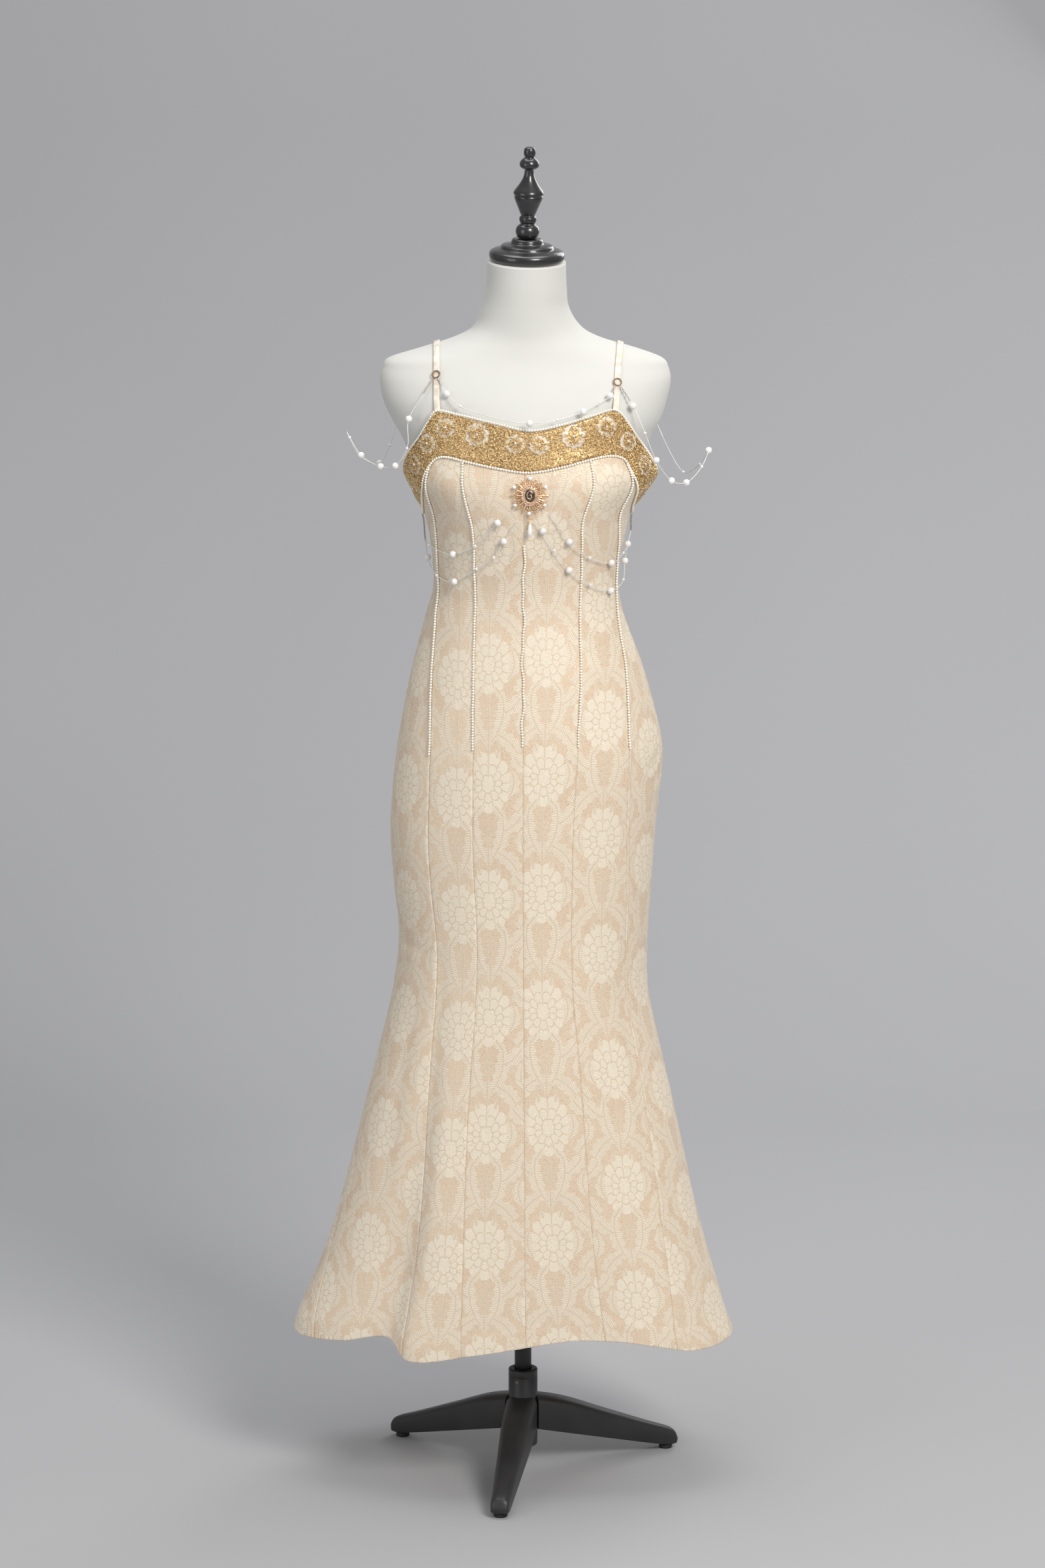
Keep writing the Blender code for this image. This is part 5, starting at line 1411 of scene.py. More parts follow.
turn = np.linspace(-180.0, 180.0, BAND_COLUMNS + 1)
low, top = band_low(turn) + 0.0001, band_top(turn)
share = np.linspace(1.0, 0.0, BAND_DEEP)[:, None]
band_turn, band_height = np.broadcast_arrays(turn[None, :], low + (top - low) * share)
fan_rise, fan_white = fan_shape(bare_cloth(band_turn, band_height))
edge_soft = ease(np.minimum(share, 1.0 - share) * 14.0)
lift = 0.0002 + BAND_PROUD * 0.35 * edge_soft + FAN_PROUD * fan_rise * (0.4 + 0.6 * edge_soft)
band_outer = cloth_point(band_turn, band_height, lift)
band_inner = cloth_point(band_turn, band_height, np.full_like(lift, -SHEET))
band_mesh = wall_mesh("neckline_net", band_outer, band_inner)
fan_values = np.concatenate([fan_white.ravel(), np.zeros(fan_rise.size)])
band_mesh.attributes.new("fan", "FLOAT", "POINT").data.foreach_set("value", fan_values)
open_net = np.clip(1.1 - 1.6 * fan_white.ravel() - 0.25 * fan_rise.ravel(), 0.0, 1.0)
outside = np.concatenate([open_net, np.zeros(fan_rise.size)])
band_mesh.attributes.new("beads", "FLOAT", "POINT").data.foreach_set("value", outside)
band = piece("neckline_net", band_mesh, BEADED_NET)
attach(band, "form")
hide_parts("neckline_band")
sides = np.cross(band_outer[1:, :-1] - band_outer[:-1, :-1], band_outer[:-1, 1:] - band_outer[:-1, :-1])

# %% [markdown]
# Bugles are short glass tubes. Distribute Points on Faces scatters them where the strip says
# beads, and each takes the cloth's direction and a random spin, as they are sewn by hand. Seed
# beads fill the gaps with the same tree.

# %% Scattered beads
def scatter_recipe(name, shape, finish):
    """A tree that scatters one bead over the marked part of a wall."""
    recipe = Recipe(name, Density=1000.0, Lift=0.0004, Seed=1)
    marked = recipe.node("GeometryNodeInputNamedAttribute", {"data_type": "FLOAT"}, {"Name": "beads"})
    density = recipe.node("ShaderNodeMath", {"operation": "MULTIPLY"}, {0: marked, 1: recipe.size("Density")})
    labels = {"Mesh": recipe.size("Geometry"), "Density": density, "Seed": recipe.size("Seed")}
    points = recipe.node("GeometryNodeDistributePointsOnFaces", {"distribute_method": "RANDOM"}, labels)
    labels = {"Seed": recipe.size("Seed"), 2: 0.0, 3: 2 * math.pi}
    spin = recipe.node("FunctionNodeRandomValue", {"data_type": "FLOAT"}, labels, output=1)
    labels = {"Seed": 7, 2: -0.22, 3: 0.22}
    tip = recipe.node("FunctionNodeRandomValue", {"data_type": "FLOAT"}, labels, output=1)
    angles = recipe.node("ShaderNodeCombineXYZ", None, {"Y": tip, "Z": spin})
    own = recipe.node("FunctionNodeEulerToRotation", None, {0: angles})
    labels = {0: points.node.outputs["Rotation"], 1: own}
    turned = recipe.node("FunctionNodeRotateRotation", {"rotation_space": "LOCAL"}, labels)
    labels = {"Points": points, "Instance": shape(recipe), "Rotation": turned}
    placed = recipe.node("GeometryNodeInstanceOnPoints", None, labels)
    rise = recipe.node("ShaderNodeCombineXYZ", None, {"Z": recipe.size("Lift")})
    labels = {"Instances": placed, "Translation": rise}
    raised = recipe.node("GeometryNodeTranslateInstances", None, labels)
    recipe.finish_with(raised, finish)
    return recipe


def bugle(recipe):
    labels = {"Vertices": 5, "Radius": 0.00052, "Depth": 0.0042}
    tube = recipe.node("GeometryNodeMeshCylinder", None, labels)
    labels = {"Geometry": tube, "Rotation": (0.0, math.pi / 2, 0.0)}
    return recipe.node("GeometryNodeTransform", None, labels)


def seed_bead(recipe):
    return recipe.node("GeometryNodeMeshIcoSphere", None, {"Radius": 0.0008, "Subdivisions": 1})


for name, shape, density, lift in (
    ("bugles", bugle, 205000.0, 0.00055),
    ("seed_beads", seed_bead, 118000.0, 0.0007),
):
    recipe = scatter_recipe(name, shape, BEAD_GOLD)
    beads = recipe.grow("band_" + name, band, Density=density, Lift=lift, Seed=len(name))
    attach(beads, "form")
    print("band", name, len(beads.data.polygons), "faces")

# %% [markdown]
# Strung pearls and beads follow a line at an even pitch. Resample Curve gives the places, so a
# longer line gets more pearls and never larger ones.

# %% Strung beads
def string_recipe(name, finish, rounds=2):
    recipe = Recipe(name, Pitch=0.0036, Radius=0.0015)
    line = recipe.node("GeometryNodeMeshToCurve", None, {"Mesh": recipe.size("Geometry")})
    even = recipe.node(
        "GeometryNodeResampleCurve", {"mode": "LENGTH"},
        {"Curve": line, "Length": recipe.size("Pitch")},
    )
    bead = recipe.node(
        "GeometryNodeMeshIcoSphere", None, {"Radius": recipe.size("Radius"), "Subdivisions": rounds}
    )
    placed = recipe.node("GeometryNodeInstanceOnPoints", None, {"Points": even, "Instance": bead})
    recipe.finish_with(placed, finish)
    return recipe


PEARL_STRING = string_recipe("pearl_string", STRING_PEARL)


def string_along(name, points, recipe, pitch=PEARL_PITCH * 0.97, radius=PEARL * 0.55, node=None):
    line = sewing_line(name + "_line", points)
    beads = recipe.grow(name, line, Pitch=pitch, Radius=radius)
    forget(line)
    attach(beads, "form")
    if node:
        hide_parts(node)
    return beads


turns = np.linspace(-180.0, 180.0, 721)[:-1]
top_line = cloth_point(turns, band_top(turns)) + (0.0, 0.0, PEARL / 2 + 4 * SEAM)
neck_pearls = string_along("neckline_pearls_strung", top_line, PEARL_STRING, node="neckline_pearls")

LOW_PEARL_LIFT = 0.0016
low_heights = band_low(turns) - SEAM
along = cloth_point(turns + 1.0, band_low(turns + 1.0)) - cloth_point(turns - 1.0, band_low(turns - 1.0))
face = outward(turns, low_heights)
down = np.cross(face, along)
down /= np.linalg.norm(down, axis=1, keepdims=True)
down *= np.where(down[:, 2:] > 0, -1.0, 1.0)
low_line = cloth_point(turns, low_heights) + down * (PEARL / 2 + SEAM) + face * (PEARL / 2 + LOW_PEARL_LIFT - 0.0012)
band_pearls = string_along("band_pearls_strung", low_line, PEARL_STRING, node="band_pearls")
print(len(neck_pearls.data.polygons) // 80 + len(band_pearls.data.polygons) // 80, "pearls at the band")

# %% [markdown]
# Five strings run down the seams of the bodice and end at the hip. The centre one starts under
# the drop of the brooch.

# %% Pearls down the seams
STRING_FEET = {1: 0.963, 2: 0.974, 3: 0.980, 4: 0.978, 5: 0.970}
STRING_NAMES = {1: "left_outer", 2: "left_inner", 3: "centre", 4: "right_inner", 5: "right_outer"}
CENTRE_STRING_TOP = 1.2315
STRING_GAP_UNDER_BAND = 0.0048

for number, label in STRING_NAMES.items():
    height = 1.30
    for _ in range(40):
        height = (height + float(band_low(seam_turns(height)[number])) - STRING_GAP_UNDER_BAND) / 2
    start = CENTRE_STRING_TOP if number == 3 else height
    heights = np.linspace(start, STRING_FEET[number], 160)
    sway = 0.0007 * np.sin(heights * 71.0 + number) + 0.0004 * np.sin(heights * 173.0 + 2.0 * number)
    seam = seam_turns(heights)[number] + sway / METRES_A_DEGREE * (2.0 if number == 3 else 0.5)
    line = cloth_point(seam, heights, np.full_like(heights, PEARL / 2 - 0.0002))
    name = f"seam_pearls_{label}"
    beads = string_along(name + "_strung", line, PEARL_STRING, node=name)
    print(name, len(beads.data.polygons) // 80, "pearls")

# %% [markdown]
# Each fan has a rim of small white beads on its scallops, a crystal in a gold cup at its root,
# and short rays of gold beads between its petals.

# %% Trim of the fans
WHITE_STRING = string_recipe("white_string", WHITE_PEARL, rounds=1)
GOLD_STRING = string_recipe("gold_string", BEAD_GOLD, rounds=1)

CRYSTAL = Finish("crystal", Metallic=0.55, Coat_Weight=1.0, Coat_Roughness=0.03)
# Painted facet reflections: the crystal's colour goes from dim to bright cell by cell, as facets would catch the light
painted_facet_glint = CRYSTAL.parts(CRYSTAL.cells(CRYSTAL.place(), 700.0))[0]
CRYSTAL.feed("Base Color", CRYSTAL.mix(painted_facet_glint, (0.62, 0.56, 0.50), (0.97, 0.95, 0.92)))
CRYSTAL.feed("Roughness", 0.05 + painted_facet_glint * 0.15)


def on_band(points, lift):
    """Moves points out from the axis of the band until they stand this far off its net."""
    found = []
    flat = np.asarray(points) - POLE
    for x, y, z in flat:
        turn = math.degrees(math.atan2(x, -y))
        for _ in range(6):
            place = bare_cloth(turn, z) - POLE
            turn += math.degrees(math.atan2(x, -y) - math.atan2(place[0], -place[1]))
        found.append(cloth_point(turn, z, lift))
    return np.array(found)


def fan_line(middle, right, up, way, size, angles, reach):
    root = middle - up * (size * 0.42 * way)
    return np.array([root + right * (r * math.sin(a)) + up * (way * r * math.cos(a)) for a, r in zip(angles, reach)])


rim_lines, ray_lines, roots = [], [], []
for turn, share, wide, way in FANS:
    middle, right, up, out = fan_place(turn, share)
    size = wide * 0.54
    angles = np.linspace(-FAN_SPREAD * 0.93, FAN_SPREAD * 0.93, 90)
    rim_lines.append(on_band(fan_line(middle, right, up, way, size, angles, fan_edge(angles, size) * 0.97), 0.0012))
    for petal_number in range(PETALS):
        angle = (petal_number - (PETALS - 1) / 2) * 2 * FAN_SPREAD / PETALS
        reach = np.linspace(0.30 * size, 0.74 * size, 12)
        ray_lines.append(on_band(fan_line(middle, right, up, way, size, np.full(12, angle), reach), 0.0023))
    roots.append(on_band([middle - up * (size * 0.42 * way)], 0.0016)[0])


def strings_together(name, lines, recipe, pitch, radius):
    """Many short strings as one piece."""
    made = []
    for i, points in enumerate(lines):
        line = sewing_line(f"{name}_{i}", points)
        made.append(recipe.grow(f"{name}_{i}", line, Pitch=pitch, Radius=radius))
        forget(line)
    whole = joined(name, [thing.data for thing in made])
    for thing in made:
        forget(thing)
    trim = piece(name, whole, WHITE_PEARL if recipe is WHITE_STRING else BEAD_GOLD)
    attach(trim, "form")
    return trim


rims = strings_together("fan_rims", rim_lines, WHITE_STRING, 0.0014, 0.0007)
rays = strings_together("fan_rays", ray_lines, GOLD_STRING, 0.0013, 0.0006)
crystals = piece("fan_crystals", joined("fan_crystals", [ball(0.0021, p, 12, 8) for p in roots]), CRYSTAL)
cups = []
for point in roots:
    turn = math.degrees(math.atan2(point[0] - POLE_X, -(point[1] - POLE_Y)))
    face = Vector(outward(turn, point[2])).to_track_quat("Z", "Y").to_matrix().to_4x4()
    for i in range(9):
        angle = 2 * math.pi * i / 9
        spot = Matrix.Translation(point) @ face @ Vector((0.0031 * math.cos(angle), 0.0031 * math.sin(angle), -0.0004))
        cups.append(ball(0.00085, spot, 8, 6))
cup_ring = piece("fan_cups", joined("fan_cups", cups), BEAD_GOLD)
for thing in (crystals, cup_ring):
    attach(thing, "form")
print("fan trim", len(rims.data.polygons) + len(rays.data.polygons), "faces")

# %% [markdown]
# Antique chain joins the band to the waist swags, and each strap ring to its pearls. One link is
# an oval ring; every other link is turned a quarter round the line.

# %% Chains and strap rings
def link_mesh(point, way, roll, long, wide, wire):
    """One oval link along a direction."""
    ahead = Vector(way).normalized()
    frame_turn = ahead.to_track_quat("X", "Z").to_matrix().to_4x4()
    frame_turn = frame_turn @ Matrix.Rotation(roll, 4, "X")
    around, sides = 20, 8
    rings = []
    for i in range(around):
        a = 2 * math.pi * i / around
        centre = Vector(((long - wire) / 2 * math.cos(a), (wide - wire) / 2 * math.sin(a), 0.0))
        normal = Vector((math.cos(a) / (long - wire), math.sin(a) / (wide - wire), 0.0)).normalized()
        ring = []
        for j in range(sides):
            b = 2 * math.pi * j / sides
            ring.append(centre + normal * (wire / 2 * math.cos(b)) + Vector((0, 0, wire / 2 * math.sin(b))))
        rings.append(ring)
    points = [p for ring in rings for p in ring]
    faces = []
    for i in range(around):
        for j in range(sides):
            k, l = (i + 1) % around, (j + 1) % sides
            faces.append((i * sides + j, k * sides + j, k * sides + l, i * sides + l))
    mesh = drawn("link", points, faces)
    mesh.transform(Matrix.Translation(point) @ frame_turn)
    return outward_faces(mesh)


def chain(name, points, long=0.0036, wide=0.0026, wire=0.0006, pitch=0.0026):
    """Links along a line, as one mesh."""
    length = line_length(points)
    count = max(2, round(length / pitch))
    line = smooth_line(points, count + 1)
    middles, ways = (line[1:] + line[:-1]) / 2, np.diff(line, axis=0)
    return joined(name, [
        link_mesh(p, w, math.radians(35.0 + 90.0 * (i % 2)), long, wide, wire)
        for i, (p, w) in enumerate(zip(middles, ways))
    ])


for side, (turn, foot) in CHAINS.items():
    start = float(band_low(turn)) - PEARL - 3 * SEAM
    steps = np.linspace(0.0, 1.0, 12)
    line = cloth_point(turn, start + (foot - start) * steps, 0.0031 + 0.0031 * ease(steps))
    name = f"swag_chain_{side}"
    links = piece(name + "_links", chain(name + "_links", line), ANTIQUE)
    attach(links, "form")
    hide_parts(name)
    print(name, round(line_length(line) * 1000), "mm")

ring_links = []
for name in FREE_SWAGS:
    line, _ = swag_line(name)
    ring_links.append(chain("links", line[: 4], pitch=0.0030))
    if name == "swag_chest":
        ring_links.append(chain("links", line[-4:], pitch=0.0030))
links = piece("strap_ring_links", joined("strap_ring_links", ring_links), ANTIQUE)
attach(links, "form")

for side, seat in RING_SEATS.items():
    around, sides = 56, 14
    face = Vector(RING_FACES[side]).to_track_quat("Z", "Y").to_matrix().to_4x4()
    points, faces = [], []
    for i in range(around):
        a = 2 * math.pi * i / around
        for j in range(sides):
            b = 2 * math.pi * j / sides
            reach = RING_RADIUS + RING_WIRE * math.cos(b)
            points.append((reach * math.cos(a), reach * math.sin(a), RING_WIRE * math.sin(b)))
            k, l = (i + 1) % around, (j + 1) % sides
            faces.append((i * sides + j, k * sides + j, k * sides + l, i * sides + l))
    mesh = drawn("ring", points, faces)
    mesh.transform(Matrix.Translation(seat) @ face)
    ring = piece(f"strap_ring_{side}_hoop", outward_faces(mesh), ANTIQUE)
    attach(ring, "form")
    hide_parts(f"strap_ring_{side}")
print("rings at", [tuple(round(float(c), 3) for c in seat) for seat in RING_SEATS.values()])

# %% [markdown]
# The brooch is a sunburst of pointed leaves in two layers, pierced between them, round an oval
# stone. Each leaf is a small ridged blade, and a wire loop fills each gap. Everything is placed
# in the brooch's own frame: right, up and out of the cloth.

# %% Frame of the brooch
brooch_out = outward(BROOCH_TURN, BROOCH_HEIGHT)
brooch_right = -np.cross((0.0, 0.0, 1.0), brooch_out)
brooch_right /= np.linalg.norm(brooch_right)
brooch_right = brooch_right if brooch_right[0] > 0 else -brooch_right
brooch_up = np.cross(brooch_out, brooch_right)
brooch_up = brooch_up if brooch_up[2] > 0 else -brooch_up
brooch_middle = cloth_point(BROOCH_TURN, BROOCH_HEIGHT, 2 * SEAM)
BROOCH_FRAME = Matrix.Translation(brooch_middle) @ Matrix(
    (brooch_right, brooch_up, brooch_out)
).transposed().to_4x4()


def blade(angle, start, end, wide, rise, lift):
    """A pointed leaf with a ridge, from start to end along an angle, in the brooch's plane."""
    stations = np.linspace(0.0, 1.0, 9)
    c, s = math.cos(angle), math.sin(angle)
    rings = []
    for share in stations:
        reach = start + (end - start) * share
        half = wide / 2 * (math.sin(math.pi * min(share * 0.86 + 0.12, 1.0)) ** 0.8) + 0.00006
        crown = lift + rise * (1.0 - 0.75 * share)
        ring = []
        for across, height in ((-1, 0.15), (-0.55, 0.62), (0, 1.0), (0.55, 0.62), (1, 0.15), (0, 0.0)):
            level = lift + (crown - lift) * height if height else lift - 0.0003
            level += 0.0004 * (1 - abs(across)) * (height > 0)
            side = across * half
            ring.append((c * reach - s * side, s * reach + c * side, level))
        rings.append(ring)
    return lofted("blade", rings)


def wire_loop(angle, reach, radius, wire, level):
    """A small ring of wire lying in the brooch's plane."""
    turns = np.linspace(0.15, 2 * math.pi - 0.15, 22)
    middle = np.array((math.cos(angle) * reach, math.sin(angle) * reach))
    line = [(middle[0] + radius * math.cos(t + angle), middle[1] + radius * math.sin(t + angle), level) for t in turns]
    return tube_mesh("loop", line, wire, 6)


# %% [markdown]
# Real castings are not regular, so the leaves differ a little in length from a fixed list, and
# the lower ones reach further, as on the real brooch.

# %% Brooch
LEAF_COUNT = 16
LEAF_LENGTHS = (1.0, 0.93, 0.98, 0.91, 1.0, 0.94, 0.97, 0.92)


def oval(angle):
    """How far the brooch reaches at an angle."""
    tall = BROOCH_UP if math.sin(angle) > 0 else BROOCH_DOWN
    return 1.0 / math.hypot(math.cos(angle) / BROOCH_WIDE, math.sin(angle) / tall)


parts = []
for i in range(LEAF_COUNT):
    angle = 2 * math.pi * i / LEAF_COUNT + math.pi / 2
    reach = oval(angle) * LEAF_LENGTHS[i % len(LEAF_LENGTHS)]
    parts.append(blade(angle, 0.0085, reach, 0.0032, 0.0024, 0.0018))
    between_leaves = angle + math.pi / LEAF_COUNT
    reach = oval(between_leaves)
    parts.append(blade(between_leaves, 0.0090, reach * 0.78, 0.0021, 0.0014, 0.0008))
    parts.append(wire_loop(between_leaves, reach * 0.70, 0.0017, 0.00032, 0.0030))
    for sign in (-1, 1):
        parts.append(wire_loop(angle + sign * 0.085, reach * 0.80, 0.0010, 0.00026, 0.0036))
plate = [(0.0, 0.0), (0.0115, 0.0), (0.0122, 0.0006), (0.0122, 0.0018), (0.0108, 0.0030), (0.0090, 0.0036), (0.0, 0.0036)]
parts.append(turned_mesh("plate", plate[::-1], 40, Matrix.Diagonal((0.92, 1.06, 1.0, 1.0)), rounded=False))
for step in range(44):
    angle = 2 * math.pi * step / 44
    parts.append(ball(0.00042, (0.0076 * math.cos(angle), 0.0097 * math.sin(angle), 0.0041), 8, 6))
rim = [(0.0066 * math.cos(t), 0.0086 * math.sin(t), 0.0042) for t in np.linspace(0, 2 * math.pi, 60)]
parts.append(tube_mesh("rim", rim, 0.00055, 8))
parts.append(blade(-math.pi / 2, 0.020, BROOCH_DOWN - 0.0002, 0.0032, 0.0010, 0.0012))
brooch_mesh = joined("brooch_leaves", parts)
brooch_mesh.transform(BROOCH_FRAME)
brooch = piece("brooch_leaves", brooch_mesh, ROSE_GOLD)

pearls = []
for across, up, wide in (
    (0.0, 0.0215, 0.0052), (-0.0195, 0.0105, 0.0048), (0.0195, 0.0105, 0.0048),
    (-0.0185, -0.0120, 0.0044), (0.0185, -0.0120, 0.0044), (-0.001, -0.0225, 0.0052),
):
    pearls.append(ball(wide / 2, (across, up, 0.0040), 18, 12))
brooch_pearl_mesh = joined("brooch_pearls", pearls)
brooch_pearl_mesh.transform(BROOCH_FRAME)
brooch_pearls = piece("brooch_pearls", brooch_pearl_mesh, WHITE_PEARL)

seeds = []
for step in range(26):
    angle = 2 * math.pi * step / 26
    seeds.append(ball(0.00105, (0.0102 * math.cos(angle), 0.0124 * math.sin(angle), 0.0040), 10, 7))
seed_mesh = joined("brooch_seeds", seeds)
seed_mesh.transform(BROOCH_FRAME)
brooch_seeds = piece("brooch_seeds", seed_mesh, PINK_PEARL)
print("brooch has", len(brooch.data.polygons), "faces")

# %% [markdown]
# The stone is a dark oval cabochon, with a curl of gold laid on its dome.

# %% Stone of the brooch
STONE = Finish("antique_stone", Coat_Weight=0.9, Coat_Roughness=0.05)
stone_cloud = STONE.noise(STONE.place(), 520.0, 4.0, 0.6)
STONE.feed("Base Color", STONE.mix(STONE.step(stone_cloud, 0.4, 0.7), (0.035, 0.024, 0.018), (0.20, 0.13, 0.075)))
STONE.feed("Metallic", 0.25 + stone_cloud * 0.3)
STONE.feed("Roughness", 0.16 + stone_cloud * 0.2)
STONE.relief(stone_cloud, 0.00010)

STONE_SIZE = (0.0060, 0.0080, 0.0028)
dome = [(math.sin(a), math.cos(a)) for a in np.linspace(0.0, math.pi / 2, 12)] + [(0.97, -0.12), (0.0, -0.12)]
stone_mesh = turned_mesh("stone", dome, 44, rounded=False)
stone_mesh.transform(Matrix.Translation((0, 0, 0.0046)) @ Matrix.Diagonal((*STONE_SIZE, 1.0)))
stone_mesh.transform(BROOCH_FRAME)
stone = piece("brooch_cabochon", stone_mesh, STONE)


def on_stone(x, y, lift=0.0):
    level = math.sqrt(max(1.0 - (x / STONE_SIZE[0]) ** 2 - (y / STONE_SIZE[1]) ** 2, 0.02))
    return (x, y, 0.0046 + STONE_SIZE[2] * level + lift)


curl = []
for t in np.linspace(0.0, 1.0, 60):
    angle = 0.6 + 7.6 * t
    reach = 0.0044 * (1.0 - t) + 0.0006
    curl.append(on_stone(reach * math.cos(angle), reach * 1.35 * math.sin(angle), 0.0001))
sprig = [on_stone(0.0030 * math.sin(2.4 * t) - 0.0008, -0.0058 + 0.0075 * t, 0.0001) for t in np.linspace(0, 1, 24)]
thick = 0.00042 * np.sin(np.linspace(0.25, math.pi - 0.2, 60)) + 0.00010
curl_mesh = joined("curl", [
    tube_mesh("curl", curl, thick, 8),
    tube_mesh("sprig", sprig, 0.0003, 8),
    *[ball(0.00050, on_stone(x, y, 0.0001), 8, 6) for x, y in ((0.0034, 0.0036), (-0.0036, -0.0036), (0.0008, 0.0062))],
])
curl_mesh.transform(BROOCH_FRAME)
stone_curl = piece("brooch_curl", curl_mesh, ROSE_GOLD)
for thing, slot, node in (
    (brooch, "gold_metal", "brooch"), (brooch_pearls, "pearl", None), (brooch_seeds, "pearl", None),
    (stone, "antique_metal", "brooch_stone"), (stone_curl, "gold_metal", None),
):
    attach(thing, "form")
    if node:
        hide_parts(node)
print("stone with its curl")

# %% [markdown]
# A slender pearl drop hangs from a link under the brooch. It swings, so it is a piece on a body
# of its own, and its cap turns with it.

# %% Link and drop
LINK_RADIUS, LINK_WIRE, LINK_OUT = 0.0021, 0.0005, 0.0022
DROP_RADIUS, DROP_LONG = 0.0029, 0.0195
brooch_foot = cloth_point(BROOCH_TURN, BROOCH_HEIGHT) - brooch_up * BROOCH_DOWN
reach = LINK_RADIUS + LINK_WIRE + SEAM
link_middle = brooch_foot + brooch_out * LINK_OUT - brooch_up * reach
drop_top = link_middle - brooch_up * reach
hoop = [
    (LINK_RADIUS * math.cos(t), LINK_RADIUS * math.sin(t), 0.0)
    for t in np.linspace(0.0, 2 * math.pi, 49)
]
hoop_mesh = tube_mesh("drop_link_hoop", hoop, LINK_WIRE, 10)
hoop_mesh.transform(Matrix.Translation(link_middle) @ Matrix((brooch_right, brooch_up, brooch_out)).transposed().to_4x4())
hoop_piece = piece("drop_link_hoop", hoop_mesh, ROSE_GOLD)
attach(hoop_piece, "form")
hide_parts("drop_link")

drop_profile = [
    (0.0, -0.0022), (0.0011, -0.0026), (0.0015, -0.0040), (0.0019, -0.0060), (0.0024, -0.0090),
    (DROP_RADIUS, -0.0130), (0.0027, -0.0165), (0.0017, -0.0188), (0.0, -DROP_LONG),
]
cap_profile = [(0.0, 0.0), (0.0006, -0.0001), (0.0009, -0.0010), (0.0010, -0.0018), (0.0016, -0.0026),
               (0.0017, -0.0034), (0.0013, -0.0036), (0.0, -0.0036)]
for name, profile, finish, slot in (
    ("brooch_drop_pearl", drop_profile, WHITE_PEARL, "pearl_drop"),
    ("brooch_drop_cap", cap_profile, ROSE_GOLD, "pearl_drop"),
):
    mesh = turned_mesh(name, profile, 28)
    mesh.transform(Matrix.Translation(drop_top))
    thing = piece(name, mesh, finish)
    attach(thing, "drop")
    if "pearl" in name:
        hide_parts("brooch_drop")
print("drop hangs from", [round(float(c), 4) for c in drop_top])

# %% [markdown]
# The zip closes the centre back seam. Only its slider shows at the top of the band, with a tab
# that lifts. The slider's body is a rounded wedge with a bridge that holds the tab.

# %% Zip slider and tab
ZIP_HEIGHT = 1.283
TAB_LONG, TAB_WIDE, TAB_THICK = 0.024, 0.0050, 0.0012
zip_face = cloth_point(180.0, ZIP_HEIGHT) - POLE
zip_base = zip_face[1] + BAND_PROUD + 3 * SEAM
SLIDER_DEEP = 0.0030


def rounded_plate(name, outline, thick, edge):
    """A plate cut to an outline in X and Z, with a bevelled edge, centred on Y = 0."""
    bm = bmesh.new()
    corners = [bm.verts.new((x, -thick / 2, z)) for x, z in outline]
    face = bm.faces.new(corners)
    pushed = bmesh.ops.extrude_face_region(bm, geom=[face])
    bmesh.ops.translate(bm, verts=[v for v in pushed["geom"] if isinstance(v, bmesh.types.BMVert)], vec=(0, thick, 0))
    bmesh.ops.recalc_face_normals(bm, faces=bm.faces)
    rim = [e for e in bm.edges if len(e.link_faces) == 2 and e.calc_face_angle() > 1.2]
    bmesh.ops.bevel(bm, geom=rim, offset=edge, segments=3, affect="EDGES", clamp_overlap=True)
    mesh = bpy.data.meshes.new(name)
    bm.to_mesh(mesh)
    bm.free()
    return outward_faces(mesh)


wedge = [(-0.0017, -0.0075), (0.0017, -0.0075), (0.0021, -0.0035), (0.0030, -0.0005), (0.0028, 0.0012),
         (0.0, 0.0015), (-0.0028, 0.0012), (-0.0030, -0.0005), (-0.0021, -0.0035)]
body_mesh = rounded_plate("slider", wedge, 0.0021, 0.0004)
body_mesh.transform(Matrix.Translation((0, -0.0004, 0)))
bridge_line = [(0.0, 0.0004, -0.0058), (0.0, 0.0012, -0.0052), (0.0, 0.0014, -0.0030), (0.0, 0.0013, -0.0008), (0.0, 0.0004, 0.0002)]
bridge = tube_mesh("bridge", smooth_line([np.array(p) for p in bridge_line], 16), 0.00045, 8)
slider_mesh = joined("zip_slider_body", [body_mesh, bridge])
slider_mesh.transform(Matrix.Translation((POLE_X, POLE_Y + zip_base + SLIDER_DEEP / 2, ZIP_HEIGHT)))
slider = piece("zip_slider_body", slider_mesh, ANTIQUE)
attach(slider, "form")
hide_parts("zip_slider")

half = TAB_WIDE / 2
tab_outline = [(-0.0013, 0.0010), (-0.0016, -0.0060)]
tab_outline += [
    (half * math.cos(math.radians(a)), half * math.sin(math.radians(a)) - TAB_LONG + half)
    for a in range(200, 341, 10)
]
tab_outline += [(0.0016, -0.0060), (0.0013, 0.0010)]
tab_mesh = rounded_plate("zip_tab", tab_outline, TAB_THICK, 0.0003)
ridge = tube_mesh("ridge", [(0, TAB_THICK / 2, -0.009), (0, TAB_THICK / 2, -0.020)], 0.0004, 8)
tab_mesh = joined("zip_tab_plate", [tab_mesh, ridge])
tab_mesh.transform(Matrix.Translation(
    (POLE_X, POLE_Y + zip_base + SLIDER_DEEP + SEAM + TAB_THICK, ZIP_HEIGHT)
))
tab = piece("zip_tab_plate", tab_mesh, ANTIQUE)
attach(tab, "zip_tab")
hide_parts("zip_pull")
print("zip slider", round(SLIDER_DEEP * 1000, 1), "mm deep")

# %% [markdown]
# The neck cap and the finial are turned wood under black lacquer. A profile of radius and height
# is drawn as a smooth curve and spun in many steps, so that no facets show on the outline.

